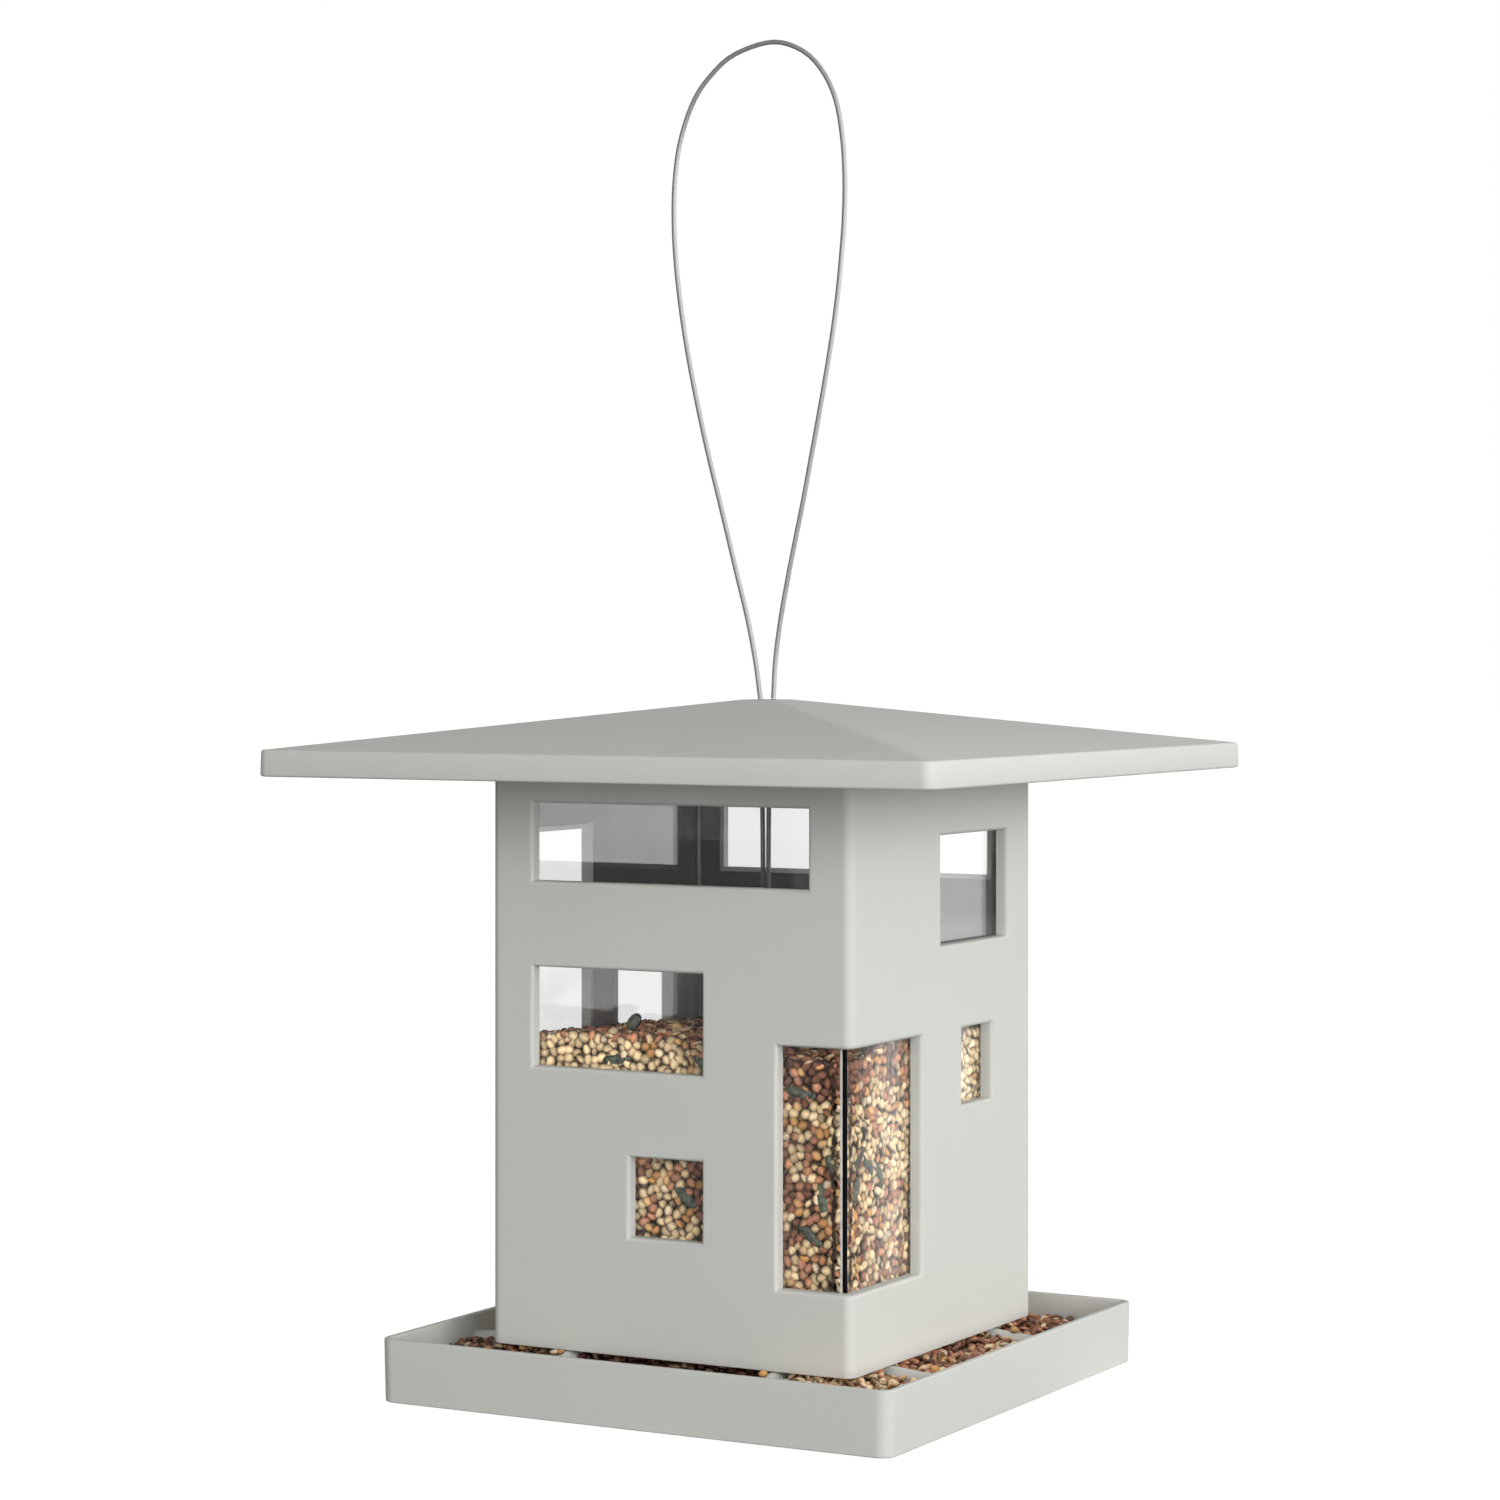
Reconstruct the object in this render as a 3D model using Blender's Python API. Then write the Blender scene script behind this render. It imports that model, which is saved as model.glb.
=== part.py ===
"""Hanging bird feeder: a small house with cut-out windows stands on a square seed tray.

A clear hopper inside the house holds the seed, a pyramid roof slides up a wire cable to
fill it, and the cable's loop hangs the feeder up. Metres, +Z up, origin under the tray's
centre. The front wall faces -Y and the right wall faces +X.
"""

import math

import bmesh
import bpy
from mathutils import Matrix, Vector

# House: a square tube that covers the hopper
HOUSE_WIDTH = 0.1308
HOUSE_HEIGHT = 0.1966
HOUSE_WALL = 0.0030
HOUSE_CORNER_RADIUS = 0.0033
WINDOW_FILLET = 0.0013

# Windows as (left, right, low, high), seen from outside: across in shares of half the
# house's width from its middle, and up in shares of its height
FRONT_WINDOW_SHARES = (
    (-0.761, 0.765, 0.760, 0.887),
    (-0.761, 0.190, 0.458, 0.620),
    (-0.214, 0.190, 0.192, 0.321),
)
RIGHT_WINDOW_SHARES = (
    (-0.047, 0.713, 0.654, 0.833),
    (0.188, 0.529, 0.387, 0.513),
)
BACK_WINDOW_SHARES = (
    (-0.765, 0.761, 0.750, 0.887),
    (-0.190, 0.761, 0.458, 0.620),
    (-0.190, 0.214, 0.192, 0.321),
)
LEFT_WINDOW_SHARES = (
    (-0.632, -0.092, 0.387, 0.620),
    (0.180, 0.711, 0.387, 0.833),
)
# The corner window runs from the front wall round to the right wall
CORNER_WINDOW_FRONT_SHARE = 0.598
CORNER_WINDOW_RIGHT_SHARE = -0.260
CORNER_WINDOW_LOW_SHARE = 0.130
CORNER_WINDOW_HIGH_SHARE = 0.513

# Hopper: a clear square tube inside the house
LINER_GAP = 0.0013
LINER_WALL = 0.0020
LINER_HEADROOM = 0.0086
LINER_CORNER_RADIUS = 0.0012
LINER_LIP_HEIGHT = 0.0030

# Roof: a low pyramid with a straight skirt and a small flat top
ROOF_WIDTH = 0.2400
ROOF_DRAFT = 0.0002
ROOF_CORNER_RADIUS = 0.0042
ROOF_SKIRT_HEIGHT = 0.0084
ROOF_RISE = 0.0157
ROOF_FLAT_WIDTH = 0.0080
ROOF_WALL = 0.0020
COLLAR_WALL = 0.0020
COLLAR_OVERLAP = 0.0080
BOSS_WIDTH = 0.0160
BOSS_DEPTH = 0.0064

# Tray: a shallow square dish with ridges that carry the house
TRAY_WIDTH = 0.1834
TRAY_DRAFT = 0.00035
TRAY_HEIGHT = 0.0203
TRAY_WALL = 0.0025
TRAY_FLOOR = 0.0025
TRAY_CORNER_RADIUS = 0.0048
RIDGE_HEIGHT = 0.0167
RIDGE_FALL = 0.0022
RIDGE_BASE_WIDTH = 0.0200
RIDGE_CREST_WIDTH = 0.0016
RIDGE_OFFSET = 0.0375
RIDGE_INNER_END = 0.0300
STUD_THICKNESS = 0.0025
STUD_WIDTH = 0.0060
STUD_HEIGHT = 0.0050
SPREADER_BASE_WIDTH = 0.0760
SPREADER_TOP_WIDTH = 0.0220
SPREADER_WALL = 0.0025
DRAIN_RADIUS = 0.0012
DRAIN_INSET = 0.0080

# Cable: steel wire with a clear coat, its two ends crimped together under the tray
WIRE_DIAMETER = 0.0016
STRAND_SPREAD = 0.0010
STRAND_SPREAD_SHARE = 0.3
STRAND_BEND_SHARE = 0.2
ROOF_HOLE_SPREAD = 0.00245
ROOF_HOLE_RADIUS = 0.0013
TRAY_HOLE_RADIUS = 0.0026
WASHER_RADIUS = 0.0070
WASHER_THICKNESS = 0.0012
FERRULE_WIDTH = 0.0062
FERRULE_DEPTH = 0.0040
FERRULE_LENGTH = 0.0090
STRAND_TAIL = 0.0004

# Seed: what fills the hopper and lies in the tray
SEED_LEVEL = 0.1000
SEED_MOUND = 0.0020
SEED_SIDE_RISE = 0.0012
SEED_BACK_FALL = 0.0055
SEED_CORNER_DIP = 0.0075
HEAP_INNER_END = 0.0460

# Clearances between pieces that touch on the real feeder
SEAT_GAP = 0.0003
COLLAR_CLEARANCE = 0.0005
WIRE_CLEARANCE = 0.0003
SEED_CLEARANCE = 0.0003
CUT_OVERRUN = 0.0040

CORNER_STEPS = 5
FILLET_STEPS = 3
ROUND_SIDES = 24
SEED_GRID = 12
LOOP_POINTS = 79
STRAND_POINTS = 14

# Heights of each tray heap, as shares of the ridge's height: at the house and at the rim
HEAP_HEIGHT_SHARES = {
    "front": (0.62, 0.50),
    "front_right": (0.95, 0.80),
    "right": (0.90, 0.74),
    "back_right": (0.90, 0.76),
    "back": (0.84, 0.68),
    "back_left": (0.88, 0.72),
    "left": (0.84, 0.70),
    "front_left": (0.90, 0.74),
}

# Route of the loop above the roof, (x, z) from the left hole over the top to the right one.
# z is measured from the roof's flat top, and both ends stand in the holes.
LOOP_ROUTE = (
    (-0.0042, 0.0120), (-0.0071, 0.0257), (-0.0107, 0.0389), (-0.0143, 0.0522),
    (-0.0179, 0.0655), (-0.0216, 0.0788), (-0.0250, 0.0922), (-0.0281, 0.1056),
    (-0.0308, 0.1190), (-0.0330, 0.1325), (-0.0346, 0.1459), (-0.0353, 0.1592),
    (-0.0349, 0.1726), (-0.0327, 0.1858), (-0.0275, 0.1987), (-0.0205, 0.2070),
    (-0.0120, 0.2128), (0.0020, 0.2158), (0.0130, 0.2123), (0.0205, 0.2052),
    (0.0256, 0.1951), (0.0281, 0.1819), (0.0289, 0.1689), (0.0286, 0.1559),
    (0.0275, 0.1429), (0.0260, 0.1299), (0.0240, 0.1170), (0.0216, 0.1040),
    (0.0190, 0.0910), (0.0163, 0.0780), (0.0136, 0.0650), (0.0106, 0.0519),
    (0.0077, 0.0388), (0.0051, 0.0257), (0.0032, 0.0125),
)

# Sizes worked out from the ones above
HOUSE_HALF = HOUSE_WIDTH / 2
HOUSE_BOTTOM = RIDGE_HEIGHT + SEAT_GAP
HOUSE_TOP = HOUSE_BOTTOM + HOUSE_HEIGHT
LINER_HALF = HOUSE_HALF - HOUSE_WALL - LINER_GAP
LINER_BORE_HALF = LINER_HALF - LINER_WALL
LINER_BOTTOM = HOUSE_BOTTOM
LINER_TOP = HOUSE_TOP - LINER_HEADROOM
ROOF_HALF = ROOF_WIDTH / 2
ROOF_EAVE_HALF = ROOF_HALF - ROOF_DRAFT
ROOF_FLAT_HALF = ROOF_FLAT_WIDTH / 2
ROOF_SLOPE = ROOF_RISE / (ROOF_EAVE_HALF - ROOF_FLAT_HALF)
ROOF_PLUMB_WALL = ROOF_WALL * math.hypot(1, ROOF_SLOPE)
ROOF_TOP = (
    HOUSE_TOP + SEAT_GAP + ROOF_PLUMB_WALL + ROOF_SLOPE * (HOUSE_HALF - ROOF_FLAT_HALF)
)
ROOF_EAVE = ROOF_TOP - ROOF_RISE
ROOF_BOTTOM = ROOF_EAVE - ROOF_SKIRT_HEIGHT
TRAY_HALF = TRAY_WIDTH / 2
TRAY_RIM_HALF = TRAY_HALF + TRAY_DRAFT
TRAY_BORE_HALF = TRAY_HALF - TRAY_WALL
TRAY_BORE_RIM_HALF = TRAY_RIM_HALF - TRAY_WALL
TRAY_BORE_RADIUS = TRAY_CORNER_RADIUS - TRAY_WALL
SPREADER_INSIDE_TOP = RIDGE_HEIGHT - SPREADER_WALL
WIRE_RADIUS = WIRE_DIAMETER / 2
WASHER_TOP = SPREADER_INSIDE_TOP - SEAT_GAP
FERRULE_TOP = WASHER_TOP - WASHER_THICKNESS - SEAT_GAP
FERRULE_BOTTOM = FERRULE_TOP - FERRULE_LENGTH
SEED_HALF = LINER_BORE_HALF - SEED_CLEARANCE
SEED_BOTTOM = RIDGE_HEIGHT + SEED_CLEARANCE

QUARTERS = 4
RIGHT_ANGLE = math.pi / 2
SHARP_ANGLE = math.radians(35)


def clear_scene():
    for old in list(bpy.data.objects):
        bpy.data.objects.remove(old, do_unlink=True)


def new_collection(name):
    collection = bpy.data.collections.new(name)
    bpy.context.scene.collection.children.link(collection)
    return collection


def plastic(name, colour, roughness, metallic=0.0, clear=0.0):
    material = bpy.data.materials.new(name)
    material.use_nodes = True
    shader = material.node_tree.nodes["Principled BSDF"]
    shader.inputs["Base Color"].default_value = (*colour, 1.0)
    shader.inputs["Roughness"].default_value = roughness
    shader.inputs["Metallic"].default_value = metallic
    shader.inputs["Transmission Weight"].default_value = clear
    return material


def add_object(name, bm, collection, material=None):
    """Makes an object from a bmesh, with its faces pointing out."""
    bmesh.ops.recalc_face_normals(bm, faces=bm.faces)
    mesh = bpy.data.meshes.new(name)
    bm.to_mesh(mesh)
    bm.free()
    item = bpy.data.objects.new(name, mesh)
    collection.objects.link(item)
    if material:
        mesh.materials.append(material)
        mesh.shade_smooth()
        mesh.set_sharp_from_angle(angle=SHARP_ANGLE)
    else:
        item.hide_render = True
        item.display_type = "WIRE"
    return item


def combine(item, tool, operation):
    modifier = item.modifiers.new(tool.name, "BOOLEAN")
    modifier.operation = operation
    modifier.solver = "EXACT"
    modifier.object = tool


def rounded_square(half, radius):
    """Corner points of a square with round corners, anticlockwise from its front right."""
    points = []
    for quarter in range(QUARTERS):
        start = (quarter - 1) * RIGHT_ANGLE
        middle = start + RIGHT_ANGLE / 2
        reach = (half - radius) * math.sqrt(2)
        centre = Vector((math.cos(middle), math.sin(middle))) * reach
        for step in range(CORNER_STEPS + 1):
            turn = start + RIGHT_ANGLE * step / CORNER_STEPS
            points.append(centre + Vector((math.cos(turn), math.sin(turn))) * radius)
    return points


def outline_face(bm, points, height):
    return bm.faces.new([bm.verts.new((p.x, p.y, height)) for p in points])


def raise_face(bm, face, height, scale=1.0):
    """Extrudes a level face up to a height and scales it about the feeder's axis."""
    grown = bmesh.ops.extrude_face_region(bm, geom=[face])["geom"]
    if any(len(edge.link_faces) > 2 for edge in face.edges):
        bmesh.ops.delete(bm, geom=[face], context="FACES_ONLY")
    for vert in grown:
        if isinstance(vert, bmesh.types.BMVert):
            vert.co = Vector((vert.co.x * scale, vert.co.y * scale, height))
    return next(g for g in grown if isinstance(g, bmesh.types.BMFace))


def prism(half_low, half_high, radius, low, high):
    """A block with round corners that widens or narrows from low to high."""
    bm = bmesh.new()
    face = outline_face(bm, rounded_square(half_low, radius), low)
    raise_face(bm, face, high, half_high / half_low)
    return bm


def box(low, high):
    """A block between two opposite corners."""
    bm = bmesh.new()
    size = Vector(high) - Vector(low)
    centre = Vector(low) + size / 2
    bmesh.ops.create_cube(bm, size=1, matrix=Matrix.Translation(centre) @ Matrix.Diagonal((*size, 1)))
    return bm


def rod(radius, low, high, x=0.0, y=0.0):
    """An upright cylinder."""
    bm = bmesh.new()
    place = Matrix.Translation((x, y, (low + high) / 2))
    bmesh.ops.create_cone(
        bm,
        cap_ends=True,
        segments=ROUND_SIDES,
        radius1=radius,
        radius2=radius,
        depth=high - low,
        matrix=place,
    )
    return bm


def turned(bm, quarter):
    """Turns a shape made on the front side round to one of the four sides."""
    bmesh.ops.rotate(
        bm,
        verts=bm.verts,
        matrix=Matrix.Rotation(quarter * RIGHT_ANGLE, 3, "Z"),
    )
    return bm


def smooth_route(points, count):
    """Evenly spaced points on a smooth curve through the given ones."""
    padded = [2 * points[0] - points[1], *points, 2 * points[-1] - points[-2]]
    fine = []
    for before, start, end, after in zip(padded, padded[1:], padded[2:], padded[3:]):
        for step in range(CORNER_STEPS * 2):
            t = step / (CORNER_STEPS * 2)
            fine.append(
                (
                    2 * start
                    + (end - before) * t
                    + (2 * before - 5 * start + 4 * end - after) * t**2
                    + (3 * start - before - 3 * end + after) * t**3
                )
                / 2
            )
    fine.append(points[-1])
    along = [0.0]
    for near, far in zip(fine, fine[1:]):
        along.append(along[-1] + (far - near).length)
    route = []
    piece = 0
    for index in range(count):
        target = along[-1] * index / (count - 1)
        while piece < len(fine) - 2 and along[piece + 1] < target:
            piece += 1
        share = (target - along[piece]) / (along[piece + 1] - along[piece])
        route.append(fine[piece].lerp(fine[piece + 1], min(share, 1.0)))
    return route


def wire(name, route, collection, material):
    """A round wire along a route."""
    curve = bpy.data.curves.new(name, "CURVE")
    curve.dimensions = "3D"
    curve.bevel_depth = WIRE_RADIUS
    curve.bevel_resolution = 2
    curve.use_fill_caps = True
    curve.materials.append(material)
    spline = curve.splines.new("POLY")
    spline.points.add(len(route) - 1)
    for point, place in zip(spline.points, route):
        point.co = (*place, 1)
    item = bpy.data.objects.new(name, curve)
    collection.objects.link(item)
    return item


def wall_point(offset, quarter):
    """A place on the outer face of one wall, offset to the right seen from outside."""
    front = Vector((offset, -HOUSE_HALF))
    front.rotate(Matrix.Rotation(quarter * RIGHT_ANGLE, 2))
    return front


def house_windows():
    """Each window as (side, left, right, low, high) in metres; side 0 is the front."""
    tables = (
        FRONT_WINDOW_SHARES,
        RIGHT_WINDOW_SHARES,
        BACK_WINDOW_SHARES,
        LEFT_WINDOW_SHARES,
    )
    windows = []
    for side, table in enumerate(tables):
        for left, right, low, high in table:
            windows.append(
                (
                    side,
                    left * HOUSE_HALF,
                    right * HOUSE_HALF,
                    HOUSE_BOTTOM + low * HOUSE_HEIGHT,
                    HOUSE_BOTTOM + high * HOUSE_HEIGHT,
                )
            )
    corner_low = HOUSE_BOTTOM + CORNER_WINDOW_LOW_SHARE * HOUSE_HEIGHT
    corner_high = HOUSE_BOTTOM + CORNER_WINDOW_HIGH_SHARE * HOUSE_HEIGHT
    front_left = CORNER_WINDOW_FRONT_SHARE * HOUSE_HALF
    right_end = CORNER_WINDOW_RIGHT_SHARE * HOUSE_HALF
    windows.append((0, front_left, HOUSE_HALF, corner_low, corner_high))
    windows.append((1, -HOUSE_HALF, right_end, corner_low, corner_high))
    return windows


def house_outline(windows):
    """The house's outer outline, with a point at every window's side."""
    points = rounded_square(HOUSE_HALF, HOUSE_CORNER_RADIUS)
    straight = HOUSE_HALF - HOUSE_CORNER_RADIUS
    outline = []
    for side in range(QUARTERS):
        offsets = set()
        for window_side, left, right, _low, _high in windows:
            if window_side == side:
                offsets.update(x for x in (left, right) if abs(x) < straight)
        outline += [wall_point(x, side) for x in sorted(offsets)]
        first = side * (CORNER_STEPS + 1)
        outline += points[first : first + CORNER_STEPS + 1]
    return outline


def in_window(centre, windows):
    """Whether a face's centre lies in a window of the wall it belongs to."""
    for side, left, right, low, high in windows:
        flat = Vector((centre.x, centre.y))
        flat.rotate(Matrix.Rotation(-side * RIGHT_ANGLE, 2))
        if left < flat.x < right and flat.y < HOUSE_WALL - HOUSE_HALF and low < centre.z < high:
            return True
    return False


def house_surface(bm, windows):
    """The house's outer surface as rows of faces, with the windows left out."""
    outline = house_outline(windows)
    levels = {HOUSE_TOP}
    for _side, _left, _right, low, high in windows:
        levels.update((low, high))
    verts = [bm.verts.new((p.x, p.y, HOUSE_BOTTOM)) for p in outline]
    row = [bm.edges.new((a, b)) for a, b in zip(verts, verts[1:] + verts[:1])]
    for level in sorted(levels):
        grown = bmesh.ops.extrude_edge_only(bm, edges=row)["geom"]
        for vert in (g for g in grown if isinstance(g, bmesh.types.BMVert)):
            vert.co.z = level
        row = [
            g
            for g in grown
            if isinstance(g, bmesh.types.BMEdge) and all(v.co.z == g.verts[0].co.z for v in g.verts)
        ]
    bmesh.ops.recalc_face_normals(bm, faces=bm.faces)
    cut = [f for f in bm.faces if in_window(f.calc_center_median(), windows)]
    bmesh.ops.delete(bm, geom=cut, context="FACES")


def on_outer_face(vert):
    """Whether a point lies on the house's outer surface."""
    across = max(abs(vert.co.x), abs(vert.co.y))
    round_centre = HOUSE_HALF - HOUSE_CORNER_RADIUS
    corner = Vector((max(abs(vert.co.x) - round_centre, 0), max(abs(vert.co.y) - round_centre, 0)))
    if corner.x > 0 and corner.y > 0:
        return corner.length > HOUSE_CORNER_RADIUS - HOUSE_WALL / 2
    return across > HOUSE_HALF - HOUSE_WALL / 2


def house_shell(parts, material):
    """The house's tube with a round edge at every window."""
    windows = house_windows()
    bm = bmesh.new()
    house_surface(bm, windows)
    bmesh.ops.solidify(bm, geom=bm.faces[:], thickness=HOUSE_WALL)
    rims = []
    lowest = HOUSE_BOTTOM + HOUSE_WALL / 2
    highest = HOUSE_TOP - HOUSE_WALL / 2
    for edge in bm.edges:
        ends_in = all(lowest < v.co.z < highest for v in edge.verts)
        if ends_in and all(on_outer_face(v) for v in edge.verts):
            if len(edge.link_faces) == 2 and edge.calc_face_angle() > RIGHT_ANGLE / 2:
                rims.append(edge)
    bmesh.ops.bevel(
        bm,
        geom=rims,
        offset=WINDOW_FILLET,
        offset_type="OFFSET",
        segments=FILLET_STEPS,
        profile=0.5,
        affect="EDGES",
    )
    return add_object("house_shell", bm, parts, material)


def hopper_liner(parts, forms, material):
    """The clear hopper, open at both ends, with a lip at each end that centres it."""
    liner = add_object(
        "hopper_liner",
        prism(LINER_HALF, LINER_HALF, LINER_CORNER_RADIUS, LINER_BOTTOM, LINER_TOP),
        parts,
        material,
    )
    lip_half = LINER_HALF + LINER_GAP - SEAT_GAP
    for name, low in (("low", LINER_BOTTOM), ("high", LINER_TOP - LINER_LIP_HEIGHT)):
        lip = prism(lip_half, lip_half, LINER_CORNER_RADIUS, low, low + LINER_LIP_HEIGHT)
        combine(liner, add_object(f"liner_lip_{name}", lip, forms), "UNION")
    bore = prism(
        LINER_BORE_HALF,
        LINER_BORE_HALF,
        LINER_CORNER_RADIUS / 2,
        LINER_BOTTOM - CUT_OVERRUN,
        LINER_TOP + CUT_OVERRUN,
    )
    combine(liner, add_object("liner_bore", bore, forms), "DIFFERENCE")
    return liner


def roof_underside(half):
    """Height of the roof's underside at a distance from the axis."""
    return ROOF_TOP - ROOF_PLUMB_WALL - ROOF_SLOPE * (half - ROOF_FLAT_HALF)


def roof_body(half_extra, low_extra):
    """The roof's solid outer shape, or the smaller one that hollows it."""
    bm = bmesh.new()
    outline = rounded_square(ROOF_HALF - half_extra, ROOF_CORNER_RADIUS - half_extra)
    face = outline_face(bm, outline, ROOF_BOTTOM - low_extra)
    eave_half = ROOF_EAVE_HALF - half_extra
    top_half = ROOF_FLAT_HALF
    if half_extra:
        eave = roof_underside(eave_half)
        top = ROOF_TOP - ROOF_PLUMB_WALL
    else:
        eave = ROOF_EAVE
        top = ROOF_TOP
    eave_face = raise_face(bm, face, eave, eave_half / (ROOF_HALF - half_extra))
    raise_face(bm, eave_face, top, top_half / eave_half)
    return bm


def roof_shell(parts, forms, material):
    """The roof with the collar that plugs the hopper and the boss that guides the cable."""
    roof = add_object("roof_shell", roof_body(0.0, 0.0), parts, material)
    hollow = add_object("roof_hollow", roof_body(ROOF_WALL, CUT_OVERRUN), forms)
    combine(roof, hollow, "DIFFERENCE")
    collar_half = LINER_BORE_HALF - COLLAR_CLEARANCE
    collar_inner = collar_half - COLLAR_WALL
    collar_low = LINER_TOP - COLLAR_OVERLAP
    collar_top = roof_underside(collar_half) + ROOF_WALL / 2
    collar = add_object(
        "roof_collar",
        prism(collar_half, collar_half, LINER_CORNER_RADIUS, collar_low, collar_top),
        forms,
    )
    room = prism(
        collar_inner,
        collar_inner,
        LINER_CORNER_RADIUS / 2,
        collar_low - CUT_OVERRUN,
        collar_top + CUT_OVERRUN,
    )
    combine(collar, add_object("roof_collar_room", room, forms), "DIFFERENCE")
    combine(roof, collar, "UNION")
    boss_low = ROOF_TOP - ROOF_PLUMB_WALL - BOSS_DEPTH
    boss = rod(BOSS_WIDTH / 2, boss_low, ROOF_TOP - ROOF_WALL / 2)
    combine(roof, add_object("roof_boss", boss, forms), "UNION")
    for name, side in (("left", -1), ("right", 1)):
        hole = rod(
            ROOF_HOLE_RADIUS,
            boss_low - CUT_OVERRUN,
            ROOF_TOP + CUT_OVERRUN,
            side * ROOF_HOLE_SPREAD,
        )
        combine(roof, add_object(f"roof_hole_{name}", hole, forms), "DIFFERENCE")
    return roof


def ridge(offset, quarter):
    """One ridge from under the house to the tray's wall, with its crest falling outside."""
    outer_end = TRAY_BORE_HALF + TRAY_WALL / 2
    half_base = RIDGE_BASE_WIDTH / 2
    floor = TRAY_FLOOR / 2
    bm = box((offset - half_base, -outer_end, floor), (offset + half_base, -RIDGE_INNER_END, RIDGE_HEIGHT))
    bmesh.ops.bisect_plane(
        bm,
        geom=bm.verts[:] + bm.edges[:] + bm.faces[:],
        plane_co=(0, -HOUSE_HALF, 0),
        plane_no=(0, 1, 0),
    )
    for vert in bm.verts:
        if vert.co.z > (floor + RIDGE_HEIGHT) / 2:
            side = math.copysign(RIDGE_CREST_WIDTH / 2, vert.co.x - offset)
            vert.co.x = offset + side
            if vert.co.y < -(HOUSE_HALF + TRAY_WALL):
                vert.co.z -= RIDGE_FALL
    return turned(bm, quarter)


def stud(offset, quarter, grow=0.0):
    """A stud on a ridge that holds the hopper from inside."""
    outer = LINER_BORE_HALF - SEAT_GAP + grow
    inner = LINER_BORE_HALF - SEAT_GAP - STUD_THICKNESS - grow
    half = STUD_WIDTH / 2 + grow
    low = RIDGE_HEIGHT - STUD_HEIGHT
    high = RIDGE_HEIGHT + STUD_HEIGHT + grow
    return turned(box((offset - half, -outer, low), (offset + half, -inner, high)), quarter)


def ridge_places():
    for quarter in range(QUARTERS):
        for name, offset in (("a", -RIDGE_OFFSET), ("b", RIDGE_OFFSET)):
            yield f"{quarter}{name}", quarter, offset


def feeding_tray(parts, forms, material):
    """The dish with its ridges, studs and the hollow spreader over the cable's crimp."""
    tray = add_object(
        "feeding_tray",
        prism(TRAY_HALF, TRAY_RIM_HALF, TRAY_CORNER_RADIUS, 0.0, TRAY_HEIGHT),
        parts,
        material,
    )
    room = prism(
        TRAY_BORE_HALF,
        TRAY_BORE_RIM_HALF,
        TRAY_BORE_RADIUS,
        TRAY_FLOOR,
        TRAY_HEIGHT + CUT_OVERRUN,
    )
    combine(tray, add_object("tray_room", room, forms), "DIFFERENCE")
    for name, quarter, offset in ridge_places():
        combine(tray, add_object(f"tray_ridge_{name}", ridge(offset, quarter), forms), "UNION")
        combine(tray, add_object(f"tray_stud_{name}", stud(offset, quarter), forms), "UNION")
    half_base = SPREADER_BASE_WIDTH / 2
    half_top = SPREADER_TOP_WIDTH / 2
    spreader = prism(half_base, half_top, TRAY_BORE_RADIUS, TRAY_FLOOR / 2, RIDGE_HEIGHT)
    combine(tray, add_object("tray_spreader", spreader, forms), "UNION")
    narrowing = (half_base - half_top) / (RIDGE_HEIGHT - TRAY_FLOOR / 2)
    pocket_base = half_base - SPREADER_WALL * math.hypot(1, narrowing)
    pocket_top = pocket_base - narrowing * SPREADER_INSIDE_TOP
    pocket = prism(
        pocket_base + narrowing * CUT_OVERRUN,
        pocket_top,
        TRAY_BORE_RADIUS,
        -CUT_OVERRUN,
        SPREADER_INSIDE_TOP,
    )
    combine(tray, add_object("tray_pocket", pocket, forms), "DIFFERENCE")
    hole = rod(TRAY_HOLE_RADIUS, -CUT_OVERRUN, RIDGE_HEIGHT + CUT_OVERRUN)
    combine(tray, add_object("tray_cable_hole", hole, forms), "DIFFERENCE")
    drain_place = TRAY_BORE_HALF - DRAIN_INSET
    for quarter in range(QUARTERS):
        drain = rod(DRAIN_RADIUS, -CUT_OVERRUN, TRAY_FLOOR + CUT_OVERRUN, drain_place, -drain_place)
        combine(tray, add_object(f"tray_drain_{quarter}", turned(drain, quarter), forms), "DIFFERENCE")
    return tray


def cable_strand(name, side, parts, material):
    """One strand of the cable, from the crimp under the tray up through the roof's hole."""
    spread_rise = (ROOF_TOP - SEED_BOTTOM) * STRAND_SPREAD_SHARE
    parting = ROOF_TOP - spread_rise
    hole_low = ROOF_TOP - ROOF_PLUMB_WALL - BOSS_DEPTH
    bend = (ROOF_HOLE_SPREAD - STRAND_SPREAD) * STRAND_BEND_SHARE
    points = [
        Vector((side * STRAND_SPREAD, 0, FERRULE_BOTTOM - STRAND_TAIL)),
        Vector((side * STRAND_SPREAD, 0, parting - spread_rise)),
        Vector((side * STRAND_SPREAD, 0, parting)),
        Vector((side * (STRAND_SPREAD + bend), 0, parting + spread_rise / 2)),
        Vector((side * (ROOF_HOLE_SPREAD - bend), 0, hole_low)),
        Vector((side * ROOF_HOLE_SPREAD, 0, ROOF_TOP - SEAT_GAP / 2)),
    ]
    return wire(name, smooth_route(points, STRAND_POINTS), parts, material)


def cable_loop(parts, material):
    """The free loop above the roof."""
    foot = ROOF_TOP + SEAT_GAP / 2
    route = [Vector((-ROOF_HOLE_SPREAD, 0, foot))]
    route += [Vector((x, 0, ROOF_TOP + z)) for x, z in LOOP_ROUTE]
    route.append(Vector((ROOF_HOLE_SPREAD, 0, foot)))
    return wire("cable_loop", smooth_route(route, LOOP_POINTS), parts, material)


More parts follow.
